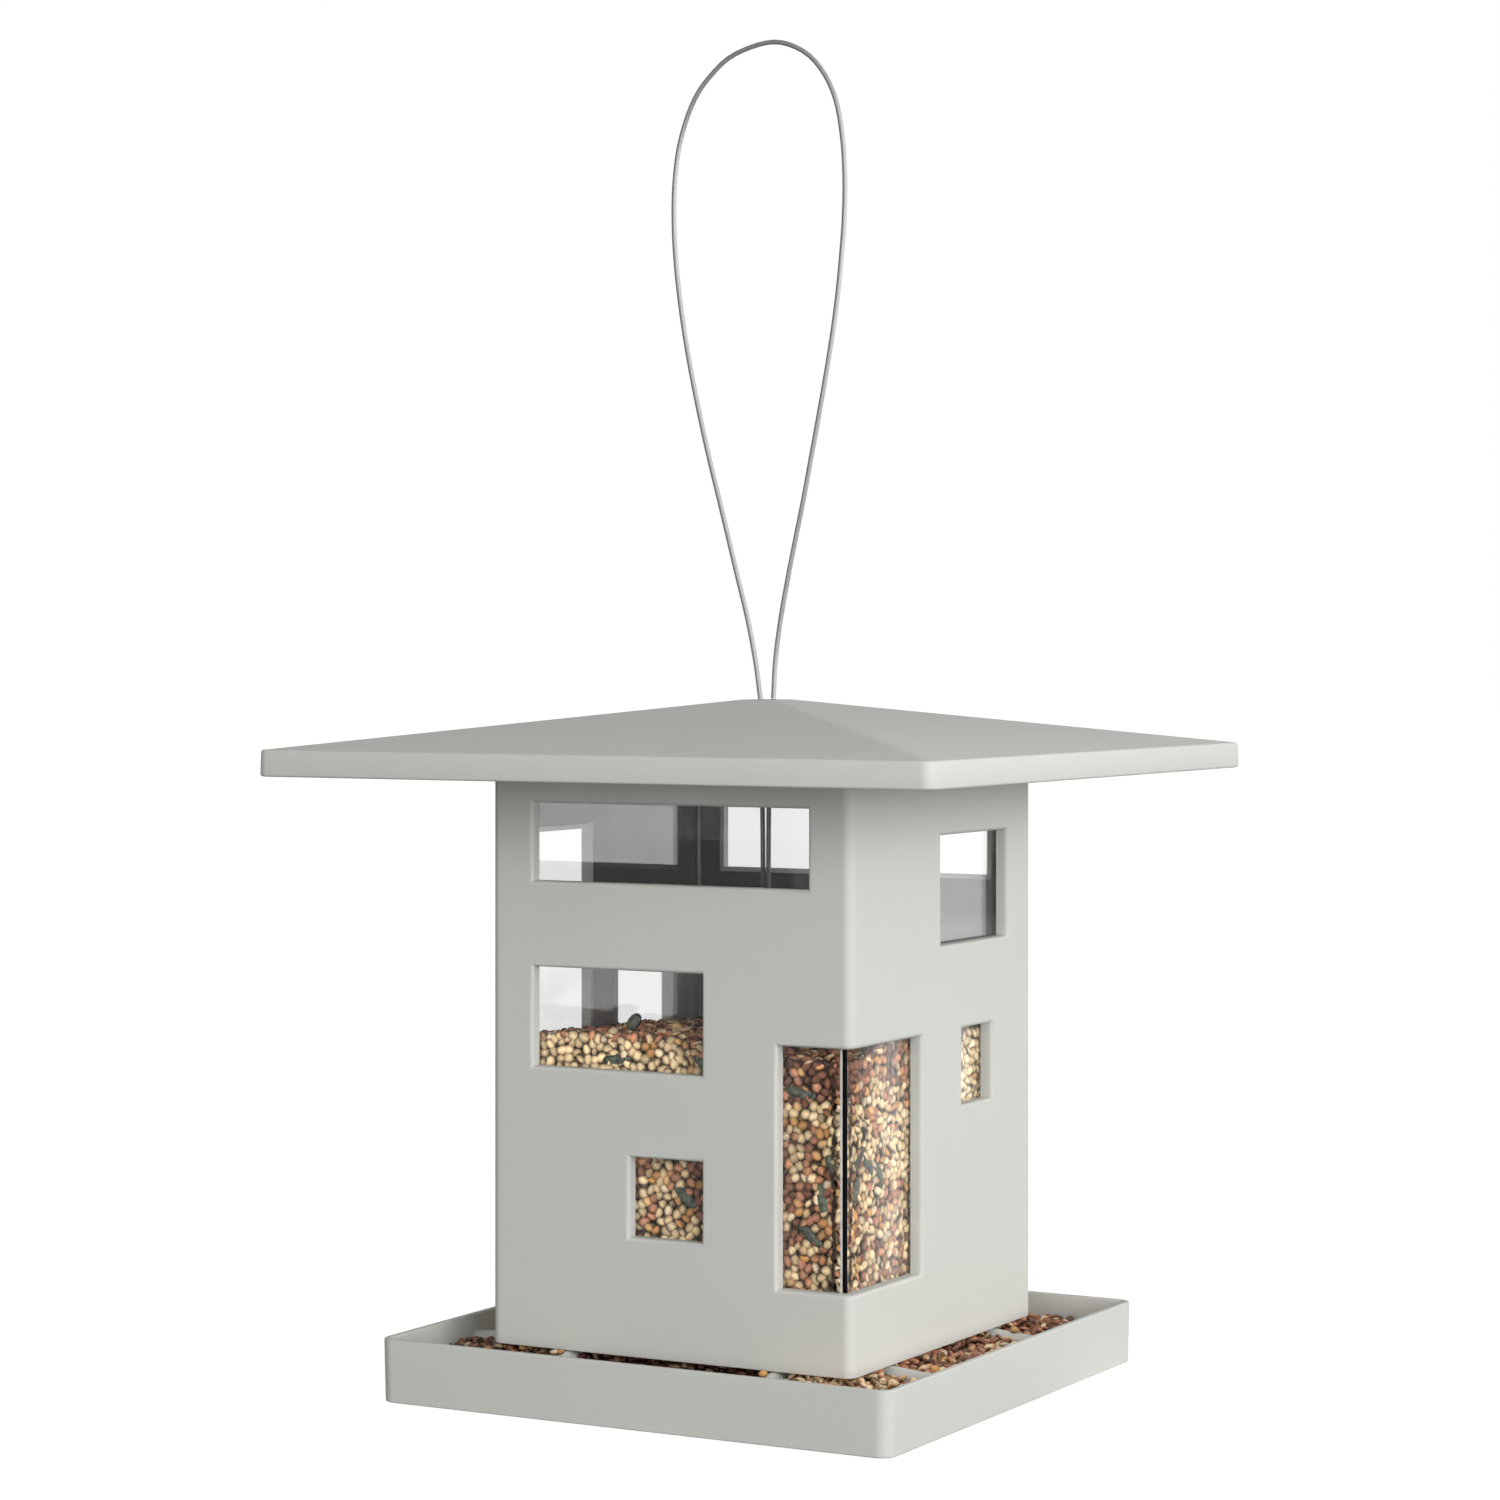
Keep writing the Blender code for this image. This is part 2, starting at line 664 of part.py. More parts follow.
def cable_ferrule(parts, forms, material):
    """The crimped sleeve that joins the cable's two ends under the tray."""
    sleeve = box(
        (-FERRULE_WIDTH / 2, -FERRULE_DEPTH / 2, FERRULE_BOTTOM),
        (FERRULE_WIDTH / 2, FERRULE_DEPTH / 2, FERRULE_TOP),
    )
    upright = [e for e in sleeve.edges if e.verts[0].co.xy == e.verts[1].co.xy]
    bmesh.ops.bevel(
        sleeve,
        geom=upright,
        offset=FERRULE_DEPTH / 2 - WIRE_CLEARANCE,
        offset_type="OFFSET",
        segments=CORNER_STEPS,
        profile=0.5,
        affect="EDGES",
    )
    ferrule = add_object("cable_ferrule", sleeve, parts, material)
    slot_half = STRAND_SPREAD + WIRE_RADIUS + WIRE_CLEARANCE
    slot_depth = WIRE_RADIUS + WIRE_CLEARANCE
    slot = box(
        (-slot_half, -slot_depth, FERRULE_BOTTOM - CUT_OVERRUN),
        (slot_half, slot_depth, FERRULE_TOP + CUT_OVERRUN),
    )
    combine(ferrule, add_object("ferrule_slot", slot, forms), "DIFFERENCE")
    return ferrule


def cable_washer(parts, forms, material):
    """The washer that spreads the cable's pull over the tray's spreader."""
    disc = rod(WASHER_RADIUS, WASHER_TOP - WASHER_THICKNESS, WASHER_TOP)
    washer = add_object("cable_washer", disc, parts, material)
    hole = rod(TRAY_HOLE_RADIUS, FERRULE_BOTTOM, RIDGE_HEIGHT)
    combine(washer, add_object("washer_hole", hole, forms), "DIFFERENCE")
    return washer


def seed_top(x, y):
    """Height of the seed in the hopper: a low mound, lower at the back and in the near corner."""
    across = x / SEED_HALF
    depth = y / SEED_HALF
    mound = SEED_MOUND * (1 - across**2) * (1 - depth**2)
    near_corner = max(across, 0) * max(-depth, 0) ** 2
    fall = SEED_CORNER_DIP * near_corner + SEED_BACK_FALL * (depth + 1) / 2
    return SEED_BOTTOM + SEED_LEVEL + mound + SEED_SIDE_RISE * across - fall


def hopper_seed(parts, forms, material):
    """The seed in the hopper, with room for the cable and the studs."""
    bm = bmesh.new()
    bmesh.ops.create_grid(bm, x_segments=SEED_GRID, y_segments=SEED_GRID, size=SEED_HALF)
    top = bm.verts[:]
    for vert in top:
        vert.co.z = seed_top(vert.co.x, vert.co.y)
    grown = bmesh.ops.extrude_face_region(bm, geom=bm.faces[:])["geom"]
    for vert in grown:
        if isinstance(vert, bmesh.types.BMVert):
            vert.co.z = SEED_BOTTOM
    seed = add_object("hopper_seed", bm, parts, material)
    channel = rod(
        STRAND_SPREAD + WIRE_RADIUS + WIRE_CLEARANCE,
        SEED_BOTTOM - CUT_OVERRUN,
        LINER_TOP,
    )
    combine(seed, add_object("seed_channel", channel, forms), "DIFFERENCE")
    for name, quarter, offset in ridge_places():
        notch = stud(offset, quarter, SEED_CLEARANCE * 2)
        combine(seed, add_object(f"seed_notch_{name}", notch, forms), "DIFFERENCE")
    return seed


def heap_edge(height_share):
    """How near a ridge's middle a heap reaches at a share of the ridge's height."""
    base = RIDGE_BASE_WIDTH / 2
    crest = RIDGE_CREST_WIDTH / 2
    slope = math.hypot(1, (base - crest) / (RIDGE_HEIGHT - TRAY_FLOOR / 2))
    return crest + (base - crest) * (1 - height_share) + SEED_CLEARANCE * 2 * slope


def side_heap(name, quarter):
    """Seed between the two ridges of one side."""
    at_house, at_rim = HEAP_HEIGHT_SHARES[name]
    outer = TRAY_BORE_HALF - SEED_CLEARANCE
    low = TRAY_FLOOR + SEED_CLEARANCE
    foot = RIDGE_OFFSET - heap_edge(0.0)
    bm = box((-foot, -outer, low), (foot, -HEAP_INNER_END, RIDGE_HEIGHT))
    for vert in bm.verts:
        if vert.co.z > (low + RIDGE_HEIGHT) / 2:
            at_wall = vert.co.y < -(outer + HEAP_INNER_END) / 2
            share = at_rim if at_wall else at_house
            clear_of_stud = STUD_WIDTH / 2 + SEED_CLEARANCE
            reach = RIDGE_OFFSET - max(heap_edge(share), clear_of_stud)
            vert.co.x = math.copysign(reach, vert.co.x)
            vert.co.z = RIDGE_HEIGHT * share
    return turned(bm, quarter)


def corner_heap(name, quarter):
    """Seed in one corner of the tray, between the last ridges of two sides."""
    at_house, at_rim = HEAP_HEIGHT_SHARES[name]
    outer = TRAY_BORE_HALF - SEED_CLEARANCE
    low = TRAY_FLOOR + SEED_CLEARANCE
    inner = RIDGE_OFFSET + heap_edge(0.0)
    bm = box((inner, -outer, low), (outer, -inner, RIDGE_HEIGHT))
    middle = (inner + outer) / 2
    corner = [
        e
        for e in bm.edges
        if all(v.co.x > middle and v.co.y < -middle for v in e.verts)
    ]
    bmesh.ops.bevel(
        bm,
        geom=corner,
        offset=TRAY_BORE_RADIUS,
        offset_type="OFFSET",
        segments=CORNER_STEPS,
        profile=0.5,
        affect="EDGES",
    )
    for vert in bm.verts:
        if vert.co.z > (low + RIDGE_HEIGHT) / 2:
            rim_ness = (max(vert.co.x, -vert.co.y) - inner) / (outer - inner)
            vert.co.z = RIDGE_HEIGHT * (at_house + (at_rim - at_house) * rim_ness)
    return turned(bm, quarter)


def tray_seed(parts, material):
    """The eight heaps of seed in the tray, by side and by corner."""
    sides = ("front", "right", "back", "left")
    corners = ("front_right", "back_right", "back_left", "front_left")
    for quarter, (side, corner) in enumerate(zip(sides, corners)):
        add_object(f"tray_seed_{side}", side_heap(side, quarter), parts, material)
        add_object(f"tray_seed_{corner}", corner_heap(corner, quarter), parts, material)


def main():
    clear_scene()
    parts = new_collection("bird_feeder")
    forms = new_collection("cutters_and_forms")
    grey = plastic("grey_plastic", (0.48, 0.48, 0.45), 0.45)
    clear = plastic("clear_plastic", (0.95, 0.97, 0.97), 0.05, clear=0.9)
    steel = plastic("steel_cable", (0.55, 0.55, 0.54), 0.35, metallic=0.8)
    seed = plastic("mixed_seed", (0.55, 0.33, 0.12), 0.7)
    house_shell(parts, grey)
    hopper_liner(parts, forms, clear)
    roof_shell(parts, forms, grey)
    feeding_tray(parts, forms, grey)
    cable_strand("cable_strand_left", -1, parts, steel)
    cable_strand("cable_strand_right", 1, parts, steel)
    cable_loop(parts, steel)
    cable_ferrule(parts, forms, steel)
    cable_washer(parts, forms, steel)
    hopper_seed(parts, forms, seed)
    tray_seed(parts, seed)


main()
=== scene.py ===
"""Plastic bird feeder: looks for the packed model.

A square house with cut-out windows over a clear seed hopper, a low pyramid roof that slides
up its cable loop, and a ridged seed tray. Metres, +Z up, front wall facing -Y.
"""

import math

import bmesh
import bpy
import numpy as np
from mathutils import Matrix, Vector, noise


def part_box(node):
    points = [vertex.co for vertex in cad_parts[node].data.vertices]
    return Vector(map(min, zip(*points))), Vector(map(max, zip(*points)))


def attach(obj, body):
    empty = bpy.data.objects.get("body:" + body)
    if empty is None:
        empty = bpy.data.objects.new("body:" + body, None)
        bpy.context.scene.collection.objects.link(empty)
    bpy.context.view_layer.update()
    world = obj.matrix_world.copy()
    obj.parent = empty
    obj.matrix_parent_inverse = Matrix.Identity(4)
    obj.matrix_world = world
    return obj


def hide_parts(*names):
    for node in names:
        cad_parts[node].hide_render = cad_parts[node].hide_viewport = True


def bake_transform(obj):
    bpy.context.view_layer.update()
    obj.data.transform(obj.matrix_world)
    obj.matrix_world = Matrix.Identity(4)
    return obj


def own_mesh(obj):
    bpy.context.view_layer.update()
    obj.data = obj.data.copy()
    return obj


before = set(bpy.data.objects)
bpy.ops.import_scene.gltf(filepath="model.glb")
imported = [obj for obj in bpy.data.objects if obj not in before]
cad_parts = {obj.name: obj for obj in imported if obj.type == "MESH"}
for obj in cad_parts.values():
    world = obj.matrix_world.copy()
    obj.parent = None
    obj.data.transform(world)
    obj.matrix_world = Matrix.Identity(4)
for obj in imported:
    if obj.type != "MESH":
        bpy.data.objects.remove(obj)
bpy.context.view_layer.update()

bl_info = {
    "name": "Bird Feeder",
    "version": (1, 0, 0),
    "blender": (4, 5, 0),
    "location": "View3D > Sidebar > Feeder",
    "description": "Builds a hanging bird feeder of grey plastic with its seed and cable",
    "category": "Add Mesh",
}

MM = 0.001
QUARTERS = 4
RIGHT_ANGLE = math.pi / 2
UPWARD = (0, 0, 1)
WHITE = (1.0, 1.0, 1.0, 1.0)

# The camera: level, to the right of the front, with its lens and sensor in mm and its shift
CAMERA_PLACE = (0.6087, -1.1134, 0.2428)
CAMERA_TURN = math.radians(28.916)
CAMERA_LENS = 92.62
CAMERA_SENSOR = 36.0
CAMERA_SHIFT = -0.0721

# The lamps: name, property with the power, size in metres and place; both point at LAMP_AIM
LAMPS = (
    ("key_lamp", "key", 1.2, (1.65, -1.05, 0.33)),
    ("fill_lamp", "fill", 1.4, (0.0, -2.2, 0.70)),
)
LAMP_AIM = (0.0, 0.0, 0.12)

# Where the sky's light fades between the horizon and overhead, as heights of a direction
SKY_FADE = (0.05, 0.75)

# The floor in the gloss: a darker panel on the right that fades at its edge and ends far out
FLOOR_HALF = 12.0
FLOOR_DEPTH = 0.2 * MM
PANEL_ACROSS = (-0.885, 0.46)
PANEL_EDGE = (-0.078, -0.056)
PANEL_LIGHT = (0.06, 0.55)
PANEL_END = (1.2, 2.0)

# How much smaller the roof shows than its packed solid, at each side and in height
ROOF_TRIM = 0.55 * MM
ROOF_TOP_TRIM = 0.11 * MM


def node_half(name):
    """Half the width of a packed node."""
    low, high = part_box(name)
    return (high.x - low.x) / 2


def node_low(name):
    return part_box(name)[0].z


def node_high(name):
    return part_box(name)[1].z


# Windows as (left, right, low, high), seen from outside: across in shares of half the
# house's width, and up in shares of its height. Side 0 is the front, then anticlockwise.
WINDOW_SHARES = (
    ((-0.761, 0.765, 0.760, 0.887), (-0.761, 0.190, 0.458, 0.620), (-0.214, 0.190, 0.192, 0.321)),
    ((-0.047, 0.713, 0.654, 0.833), (0.188, 0.529, 0.387, 0.513)),
    ((-0.765, 0.761, 0.750, 0.887), (-0.190, 0.761, 0.458, 0.620), (-0.190, 0.214, 0.192, 0.321)),
    ((-0.632, -0.092, 0.387, 0.620), (0.180, 0.711, 0.387, 0.833)),
)
# The corner window: where it starts on the front, where it ends on the right, low and high
CORNER_WINDOW_SHARES = (0.598, -0.260, 0.130, 0.513)

# The heaps in the tray, a side and a corner in turn, anticlockwise from the front: their
# heights at the house and at the rim as shares of the ridge's height, how much darker kinds
# prevail in them, and how bright their grains are painted; the front and front-left heaps
# are painted darker, as the house's shadow
HEAP_SHARES = {
    "front": (0.62, 0.50, 0.5, 0.40),
    "front_right": (0.95, 0.80, 0.0, 1.0),
    "right": (0.90, 0.74, 0.35, 1.0),
    "back_right": (0.90, 0.76, 0.55, 1.0),
    "back": (0.84, 0.68, 0.2, 1.0),
    "back_left": (0.88, 0.72, 0.0, 1.0),
    "left": (0.84, 0.70, 0.0, 1.0),
    "front_left": (0.90, 0.74, 0.5, 0.55),
}

# Zones of kinds behind the glass: x, y, z and reach in mm, and how much darker (above 0) or
# paler (below 0) the kinds in them are
SEED_ZONES = (
    (-28, -59, 108, 26, -0.80), (-2, -59, 106, 14, -0.30), (12, -59, 112, 12, 0.50),
    (7, -59, 73, 13, 0.60), (-3, -59, 58, 12, -0.30), (52, -59, 114, 15, 1.00),
    (59, -50, 114, 14, 0.80), (44, -59, 62, 13, 0.70), (56, -59, 94, 13, -0.50),
    (59, -54, 70, 9, 0.60), (59, -30, 84, 30, -0.60), (59, -26, 110, 12, 0.50),
    (54, -59, 48, 12, -0.40),
    (52, -59, 112, 24, 0.45), (62, -40, 85, 55, 0.30), (59, 24, 102, 24, -0.60),
)

# Arcs that round a profile's corners are drawn in this many steps
ROUND_STEPS = 3

# Route of the loop above the roof, (x, z) in metres from the roof's flat top
LOOP_ROUTE = (
    (-0.0042, 0.0120), (-0.0071, 0.0257), (-0.0107, 0.0389), (-0.0143, 0.0522),
    (-0.0179, 0.0655), (-0.0216, 0.0788), (-0.0250, 0.0922), (-0.0281, 0.1056),
    (-0.0308, 0.1190), (-0.0330, 0.1325), (-0.0346, 0.1459), (-0.0353, 0.1592),
    (-0.0349, 0.1726), (-0.0327, 0.1858), (-0.0275, 0.1987), (-0.0205, 0.2070),
    (-0.0120, 0.2128), (0.0020, 0.2158), (0.0130, 0.2123), (0.0205, 0.2052),
    (0.0256, 0.1951), (0.0281, 0.1819), (0.0289, 0.1689), (0.0286, 0.1559),
    (0.0275, 0.1429), (0.0260, 0.1299), (0.0240, 0.1170), (0.0216, 0.1040),
    (0.0190, 0.0910), (0.0163, 0.0780), (0.0136, 0.0650), (0.0106, 0.0519),
    (0.0077, 0.0388), (0.0051, 0.0257), (0.0032, 0.0125),
)


def length(name, text, value):
    return bpy.props.FloatProperty(
        name=name, description=text, default=value, unit="LENGTH", precision=5
    )


def colour(name, text, value):
    return bpy.props.FloatVectorProperty(
        name=name, description=text, default=value, subtype="COLOR", size=3, min=0, max=1
    )


def share(name, text, value):
    return bpy.props.FloatProperty(
        name=name, description=text, default=value, subtype="FACTOR", min=0, max=1
    )


def strength(name, text, value):
    return bpy.props.FloatProperty(name=name, description=text, default=value, min=0)


def power(name, text, value):
    return bpy.props.FloatProperty(name=name, description=text, default=value, min=0, unit="POWER")


class FeederHouse(bpy.types.PropertyGroup):
    """Sizes of the house and the hopper."""

    half: length("Half width", "Half the house's width", node_half("house_shell"))
    low: length("Bottom", "Height of the house's lower edge", node_low("house_shell"))
    high: length("Top", "Height of the house's upper edge", node_high("house_shell"))
    wall: length("Wall", "Thickness of the house's walls", 0.0030)
    corner: length("Corner", "Radius of the house's upright corners", 0.0033)
    fillet: length("Window edge", "Radius round every window", 0.0013)
    rim: length("Rim edge", "Radius at the house's lower and upper edges", 0.0005)
    liner_half: length("Hopper half width", "Half the clear hopper's width", 0.0611)
    liner_wall: length("Hopper wall", "Thickness of the clear hopper", 0.0020)
    liner_low: length("Hopper bottom", "Height of the hopper's lower end", node_low("hopper_liner"))
    liner_high: length("Hopper top", "Height of the hopper's upper end", node_high("hopper_liner"))
    liner_corner: length("Hopper corner", "Radius of the hopper's corners", 0.0012)
    # Painted highlight: a light strip at each hopper corner stands for the corner's glint
    seam: length("Seam", "Width of the bright line at each corner of the hopper", 0.00085)
    lip: length("Hopper lip", "Height of the lip at each end of the hopper", 0.0030)


class FeederRoof(bpy.types.PropertyGroup):
    """Sizes of the roof."""

    half: length("Half width", "Half the roof's width", node_half("roof_shell") - ROOF_TRIM)
    draft: length("Draft", "How far the skirt narrows towards the eave", 0.0002)
    corner: length("Corner", "Radius of the skirt's corners", 0.0042)
    top: length("Top", "Height of the flat top", node_high("roof_shell") - ROOF_TOP_TRIM)
    rise: length("Rise", "Height of the slopes", 0.0156)
    skirt: length("Skirt", "Height of the skirt", 0.0084)
    flat_half: length("Flat half width", "Half the width of the flat top", 0.0040)
    crown_half: length("Crown half width", "Where the slopes round over to the top", 0.0060)
    wall: length("Wall", "Thickness of the roof", 0.0019)
    edge: length("Edge", "Radius of the roof's edges", 0.0007)
    collar_half: length("Collar half width", "Half the width of the collar in the hopper", 0.0586)
    collar_wall: length("Collar wall", "Thickness of the collar", 0.0020)
    collar_low: length("Collar bottom", "Height of the collar's lower edge", 0.1970)
    boss_radius: length("Boss radius", "Radius of the boss that guides the cable", 0.0080)
    boss_depth: length("Boss depth", "How far the boss hangs below the roof", 0.0064)
    hole_radius: length("Hole radius", "Radius of the two cable holes", 0.0013)
    hole_spread: length("Hole spread", "Distance of each hole from the middle", 0.00245)


class FeederTray(bpy.types.PropertyGroup):
    """Sizes of the tray."""

    half: length("Half width", "Half the tray's width at its foot", 0.0911)
    draft: length("Draft", "How far the tray widens to its rim", 0.00035)
    height: length("Height", "Height of the tray's rim", 0.0203)
    wall: length("Wall", "Thickness of the tray's walls and floor", 0.0022)
    corner: length("Corner", "Radius of the tray's corners", 0.0048)
    edge: length("Edge", "Radius of the tray's edges", 0.0005)
    ridge_high: length("Ridge height", "Height of the ridges that carry the house", 0.0167)
    ridge_fall: length("Ridge fall", "How far a ridge's crest falls towards the rim", 0.0022)
    ridge_half: length("Ridge half width", "Half the width of a ridge at its foot", 0.0100)
    crest_half: length("Crest half width", "Half the width of a ridge's crest", 0.0008)
    ridge_offset: length("Ridge place", "Distance of a ridge from the middle of its side", 0.0375)
    ridge_inner: length("Ridge start", "Where a ridge starts under the house", 0.0300)
    stud_half: length("Stud half width", "Half the width of a stud", 0.0030)
    stud_depth: length("Stud depth", "Thickness of a stud", 0.0025)
    stud_rise: length("Stud height", "Height of a stud above its ridge", 0.0050)
    spreader_half: length("Spreader half width", "Half the width of the raised middle", 0.0380)
    spreader_top: length("Spreader top", "Half the width of the raised middle's top", 0.0110)
    hole: length("Cable hole", "Radius of the cable hole", 0.0026)
    drain: length("Drain", "Radius of the drain holes", 0.0012)
    drain_inset: length("Drain place", "Distance of a drain hole from the walls", 0.0080)


class FeederCable(bpy.types.PropertyGroup):
    """Sizes of the cable and its crimp."""

    wire: length("Wire", "Diameter of the coated wire", 0.0016)
    spread: length("Strand spread", "Distance of each strand from the middle", 0.0010)
    ferrule_half: length("Crimp half width", "Half the width of the crimp", 0.0031)
    ferrule_depth: length("Crimp half depth", "Half the depth of the crimp", 0.0020)
    washer: length("Washer radius", "Radius of the washer", 0.0070)
    slack: length("Slack", "Clearance round the wire", 0.0003)


class FeederSeed(bpy.types.PropertyGroup):
    """Sizes and colours of the seed."""

    pitch: length("Pitch", "Distance from one seed to the next", 0.00280)
    grain: length("Grain", "Length of a round grain", 0.0030)
    husk: length("Husk", "Length of a long dark seed", 0.0118)
    corner_from: length("Corner grains", "Where the near corner's grains begin", 0.0565)
    level: length("Level", "Height of the seed in the hopper", 0.1170)
    mound: length("Mound", "How far the seed heaps up in the middle", 0.0020)
    back_fall: length("Back fall", "How much lower the seed lies at the back", 0.0055)
    side_rise: length("Side rise", "How much higher the seed lies on the right", 0.0012)
    corner_dip: length("Corner dip", "How far the seed falls in the near corner", 0.0075)
    pale: colour("Pale", "Colour of most grains", (0.97, 0.72, 0.41))
    cream: colour("Cream", "Colour of the palest grains", (1.0, 0.83, 0.65))
    salmon: colour("Salmon", "Colour of the reddish grains", (0.60, 0.27, 0.16))
    orange: colour("Orange", "Colour of the orange grains", (0.75, 0.36, 0.11))
    brown: colour("Brown", "Colour of the brown grains", (0.26, 0.095, 0.05))
    husks: colour("Husks", "Colour of the long dark seeds", (0.080, 0.094, 0.068))
    # Painted shade: the dark between and under the grains
    gaps: colour("Gaps", "Colour between the grains", (0.050, 0.025, 0.012))


class FeederLooks(bpy.types.PropertyGroup):
    """Colours, finishes and light."""

    plastic: colour("Plastic", "Colour of the grey plastic", (0.655, 0.661, 0.620))
    # Painted shade: the house's inner side is painted near black, and a lighter grey with streaks
    # beside the seed
    inside: colour("Inside", "Colour of the house's dim inner side", (0.045, 0.045, 0.044))
    dulled: colour("Dusty", "Colour of the inner side beside the seed", (0.40, 0.40, 0.395))
    plastic_rough: share("Plastic roughness", "Roughness of the grey plastic", 0.50)
    steel: colour("Cable", "Colour of the coated cable", (0.39, 0.39, 0.39))
    crimp: colour("Crimp", "Colour of the crimp and washer", (0.62, 0.62, 0.61))
    clear: colour("Hopper", "Colour of the clear plastic", (0.985, 0.99, 0.99))
    through: share("Through", "Brightness of the white surroundings seen through the hopper", 0.94)
    floor: share("Floor", "How much of the light the floor throws back", 0.22)
    left: strength("Left", "Strength of the light from the left horizon", 0.30)
    right: strength("Right", "Strength of the light from the right horizon", 1.95)
    back: strength("Back", "Strength of the light added from behind", 0.70)
    mirror_left: strength("Mirror left", "What shines in the gloss on the left", 0.12)
    mirror_right: strength("Mirror right", "What shines in the gloss on the right", 3.60)
    overhead: share("Overhead", "Light from above, as a share of the horizon's", 0.36)
    indoors: share("Indoors", "Share of the light that gets in through the hopper", 0.80)
    key: power("Key", "Power of the main lamp", 22.8)
    fill: power("Fill", "Power of the front lamp", 9.0)


GROUPS = {
    "feeder_house": FeederHouse,
    "feeder_roof": FeederRoof,
    "feeder_tray": FeederTray,
    "feeder_cable": FeederCable,
    "feeder_seed": FeederSeed,
    "feeder_looks": FeederLooks,
}


class Shade:
    """One value in a material's nodes, used in expressions like a number."""

    def __init__(self, tree, socket=None):
        self.tree = tree
        self.socket = socket

    def node(self, kind, settings=None, values=None, output=0):
        """Adds a node: its settings first, then the values or links of its sockets."""
        new = self.tree.nodes.new("ShaderNode" + kind)
        for name, value in (settings or {}).items():
            if name == "stops":
                ramp = new.color_ramp
                while len(ramp.elements) < len(value):
                    ramp.elements.new(0.5)
                for element, (place, tint) in zip(ramp.elements, value):
                    element.position = place
                    element.color = (*tint, 1.0)
            else:
                setattr(new, name, value)
        for name, value in (values or {}).items():
            if isinstance(value, Shade):
                self.tree.links.new(value.socket, new.inputs[name])
            else:
                new.inputs[name].default_value = value
        return Shade(self.tree, new.outputs[output])

    def math(self, operation, first, second=0.0):
        return self.node("Math", {"operation": operation}, {0: first, 1: second})

    def mix(self, first, second):
        """A colour between two, by this value."""
        values = {0: self, 6: first, 7: second}
        return self.node("Mix", {"data_type": "RGBA"}, values, 2)

    def tint(self, other):
        """This colour times another one."""
        values = {0: 1.0, 6: self, 7: other}
        return self.node("Mix", {"data_type": "RGBA", "blend_type": "MULTIPLY"}, values, 2)

    def part(self, index):
        return self.node("SeparateXYZ", None, {0: self}, index)

    def place(self, kind="Object"):
        """Where the surface is, in one of the texture coordinates."""
        return self.node("TexCoord", None, None, kind)

    def grey(self):
        """A grey of this value."""
        return self.node("CombineColor", None, {0: self, 1: self, 2: self})

    def span(self, start, end, low, high):
        """This value mapped from one range to another and held at its ends."""
        ends = {"From Min": start, "From Max": end, "To Min": low, "To Max": high}
        return self.node("MapRange", None, {0: self, **ends})

    def ray(self, fact):
        """What the light path says of a ray."""
        return self.node("LightPath", None, None, fact)

    def glow(self, strength, kind="Emission"):
        """White light of a strength."""
        return self.node(kind, None, {0: WHITE, 1: strength})

    def blend(self, first, second):
        """One shader or another, by this value."""
        return self.node("MixShader", None, {0: self, 1: first, 2: second})

    def __add__(self, other):
        return self.math("ADD", self, other)

    def __radd__(self, other):
        return self.math("ADD", other, self)

    def __sub__(self, other):
        return self.math("SUBTRACT", self, other)

    def __rsub__(self, other):
        return self.math("SUBTRACT", other, self)

    def __mul__(self, other):
        return self.math("MULTIPLY", self, other)

    def __rmul__(self, other):
        return self.math("MULTIPLY", other, self)

    def __pow__(self, other):
        return self.math("POWER", self, other)


def four(tint):
    return (*tint, 1.0)


def new_material(name):
    """A material with its Principled node, and a Shade to add nodes with."""
    material = bpy.data.materials.new(name)
    material.use_nodes = True
    shader = material.node_tree.nodes["Principled BSDF"]
    return material, shader, Shade(material.node_tree)


def plug(shade, value, shader, name):
    shade.tree.links.new(value.socket, shader.inputs[name])


def show(shade, value):
    """Makes a shader the material's surface."""
    plug(shade, value, shade.tree.nodes["Material Output"], "Surface")


def speckle(shade, size, detail, rough=0.5):
    """Noise whose grains are about size metres across."""
    values = {"Vector": shade.place(), "Scale": 1 / size, "Detail": detail, "Roughness": rough}
    return shade.node("TexNoise", None, values)


def relief(shade, height, depth, strength):
    """A bump of so many metres."""
    values = {"Height": height, "Distance": depth, "Strength": strength}
    return shade.node("Bump", None, values)


def grey_plastic(name, looks):
    """Moulded plastic: fine matt grain, faint flow clouds and a little dust."""
    material, shader, shade = new_material(name)
    cloud = speckle(shade, 45 * MM, 3.0)
    grain = speckle(shade, 0.45 * MM, 1.0)
    dust = speckle(shade, 3.2 * MM, 6.0, 0.7)
    base = (0.965 + cloud * 0.05 + grain * 0.012).grey().tint(four(looks.plastic))
    stops = ((0.66, (0.0,) * 3), (0.80, (1.0,) * 3))
    speck = shade.node("ValToRGB", {"stops": stops}, {0: dust})
    dulled = (speck * 0.06).mix(base, (0.50, 0.48, 0.43, 1.0))
    plug(shade, dulled, shader, "Base Color")
    rough = looks.plastic_rough - 0.04 + cloud * 0.08 + grain * 0.05
    plug(shade, rough, shader, "Roughness")
    plug(shade, relief(shade, grain, 0.012 * MM, 0.5), shader, "Normal")
    shader.inputs["Specular IOR Level"].default_value = 0.42
    return material


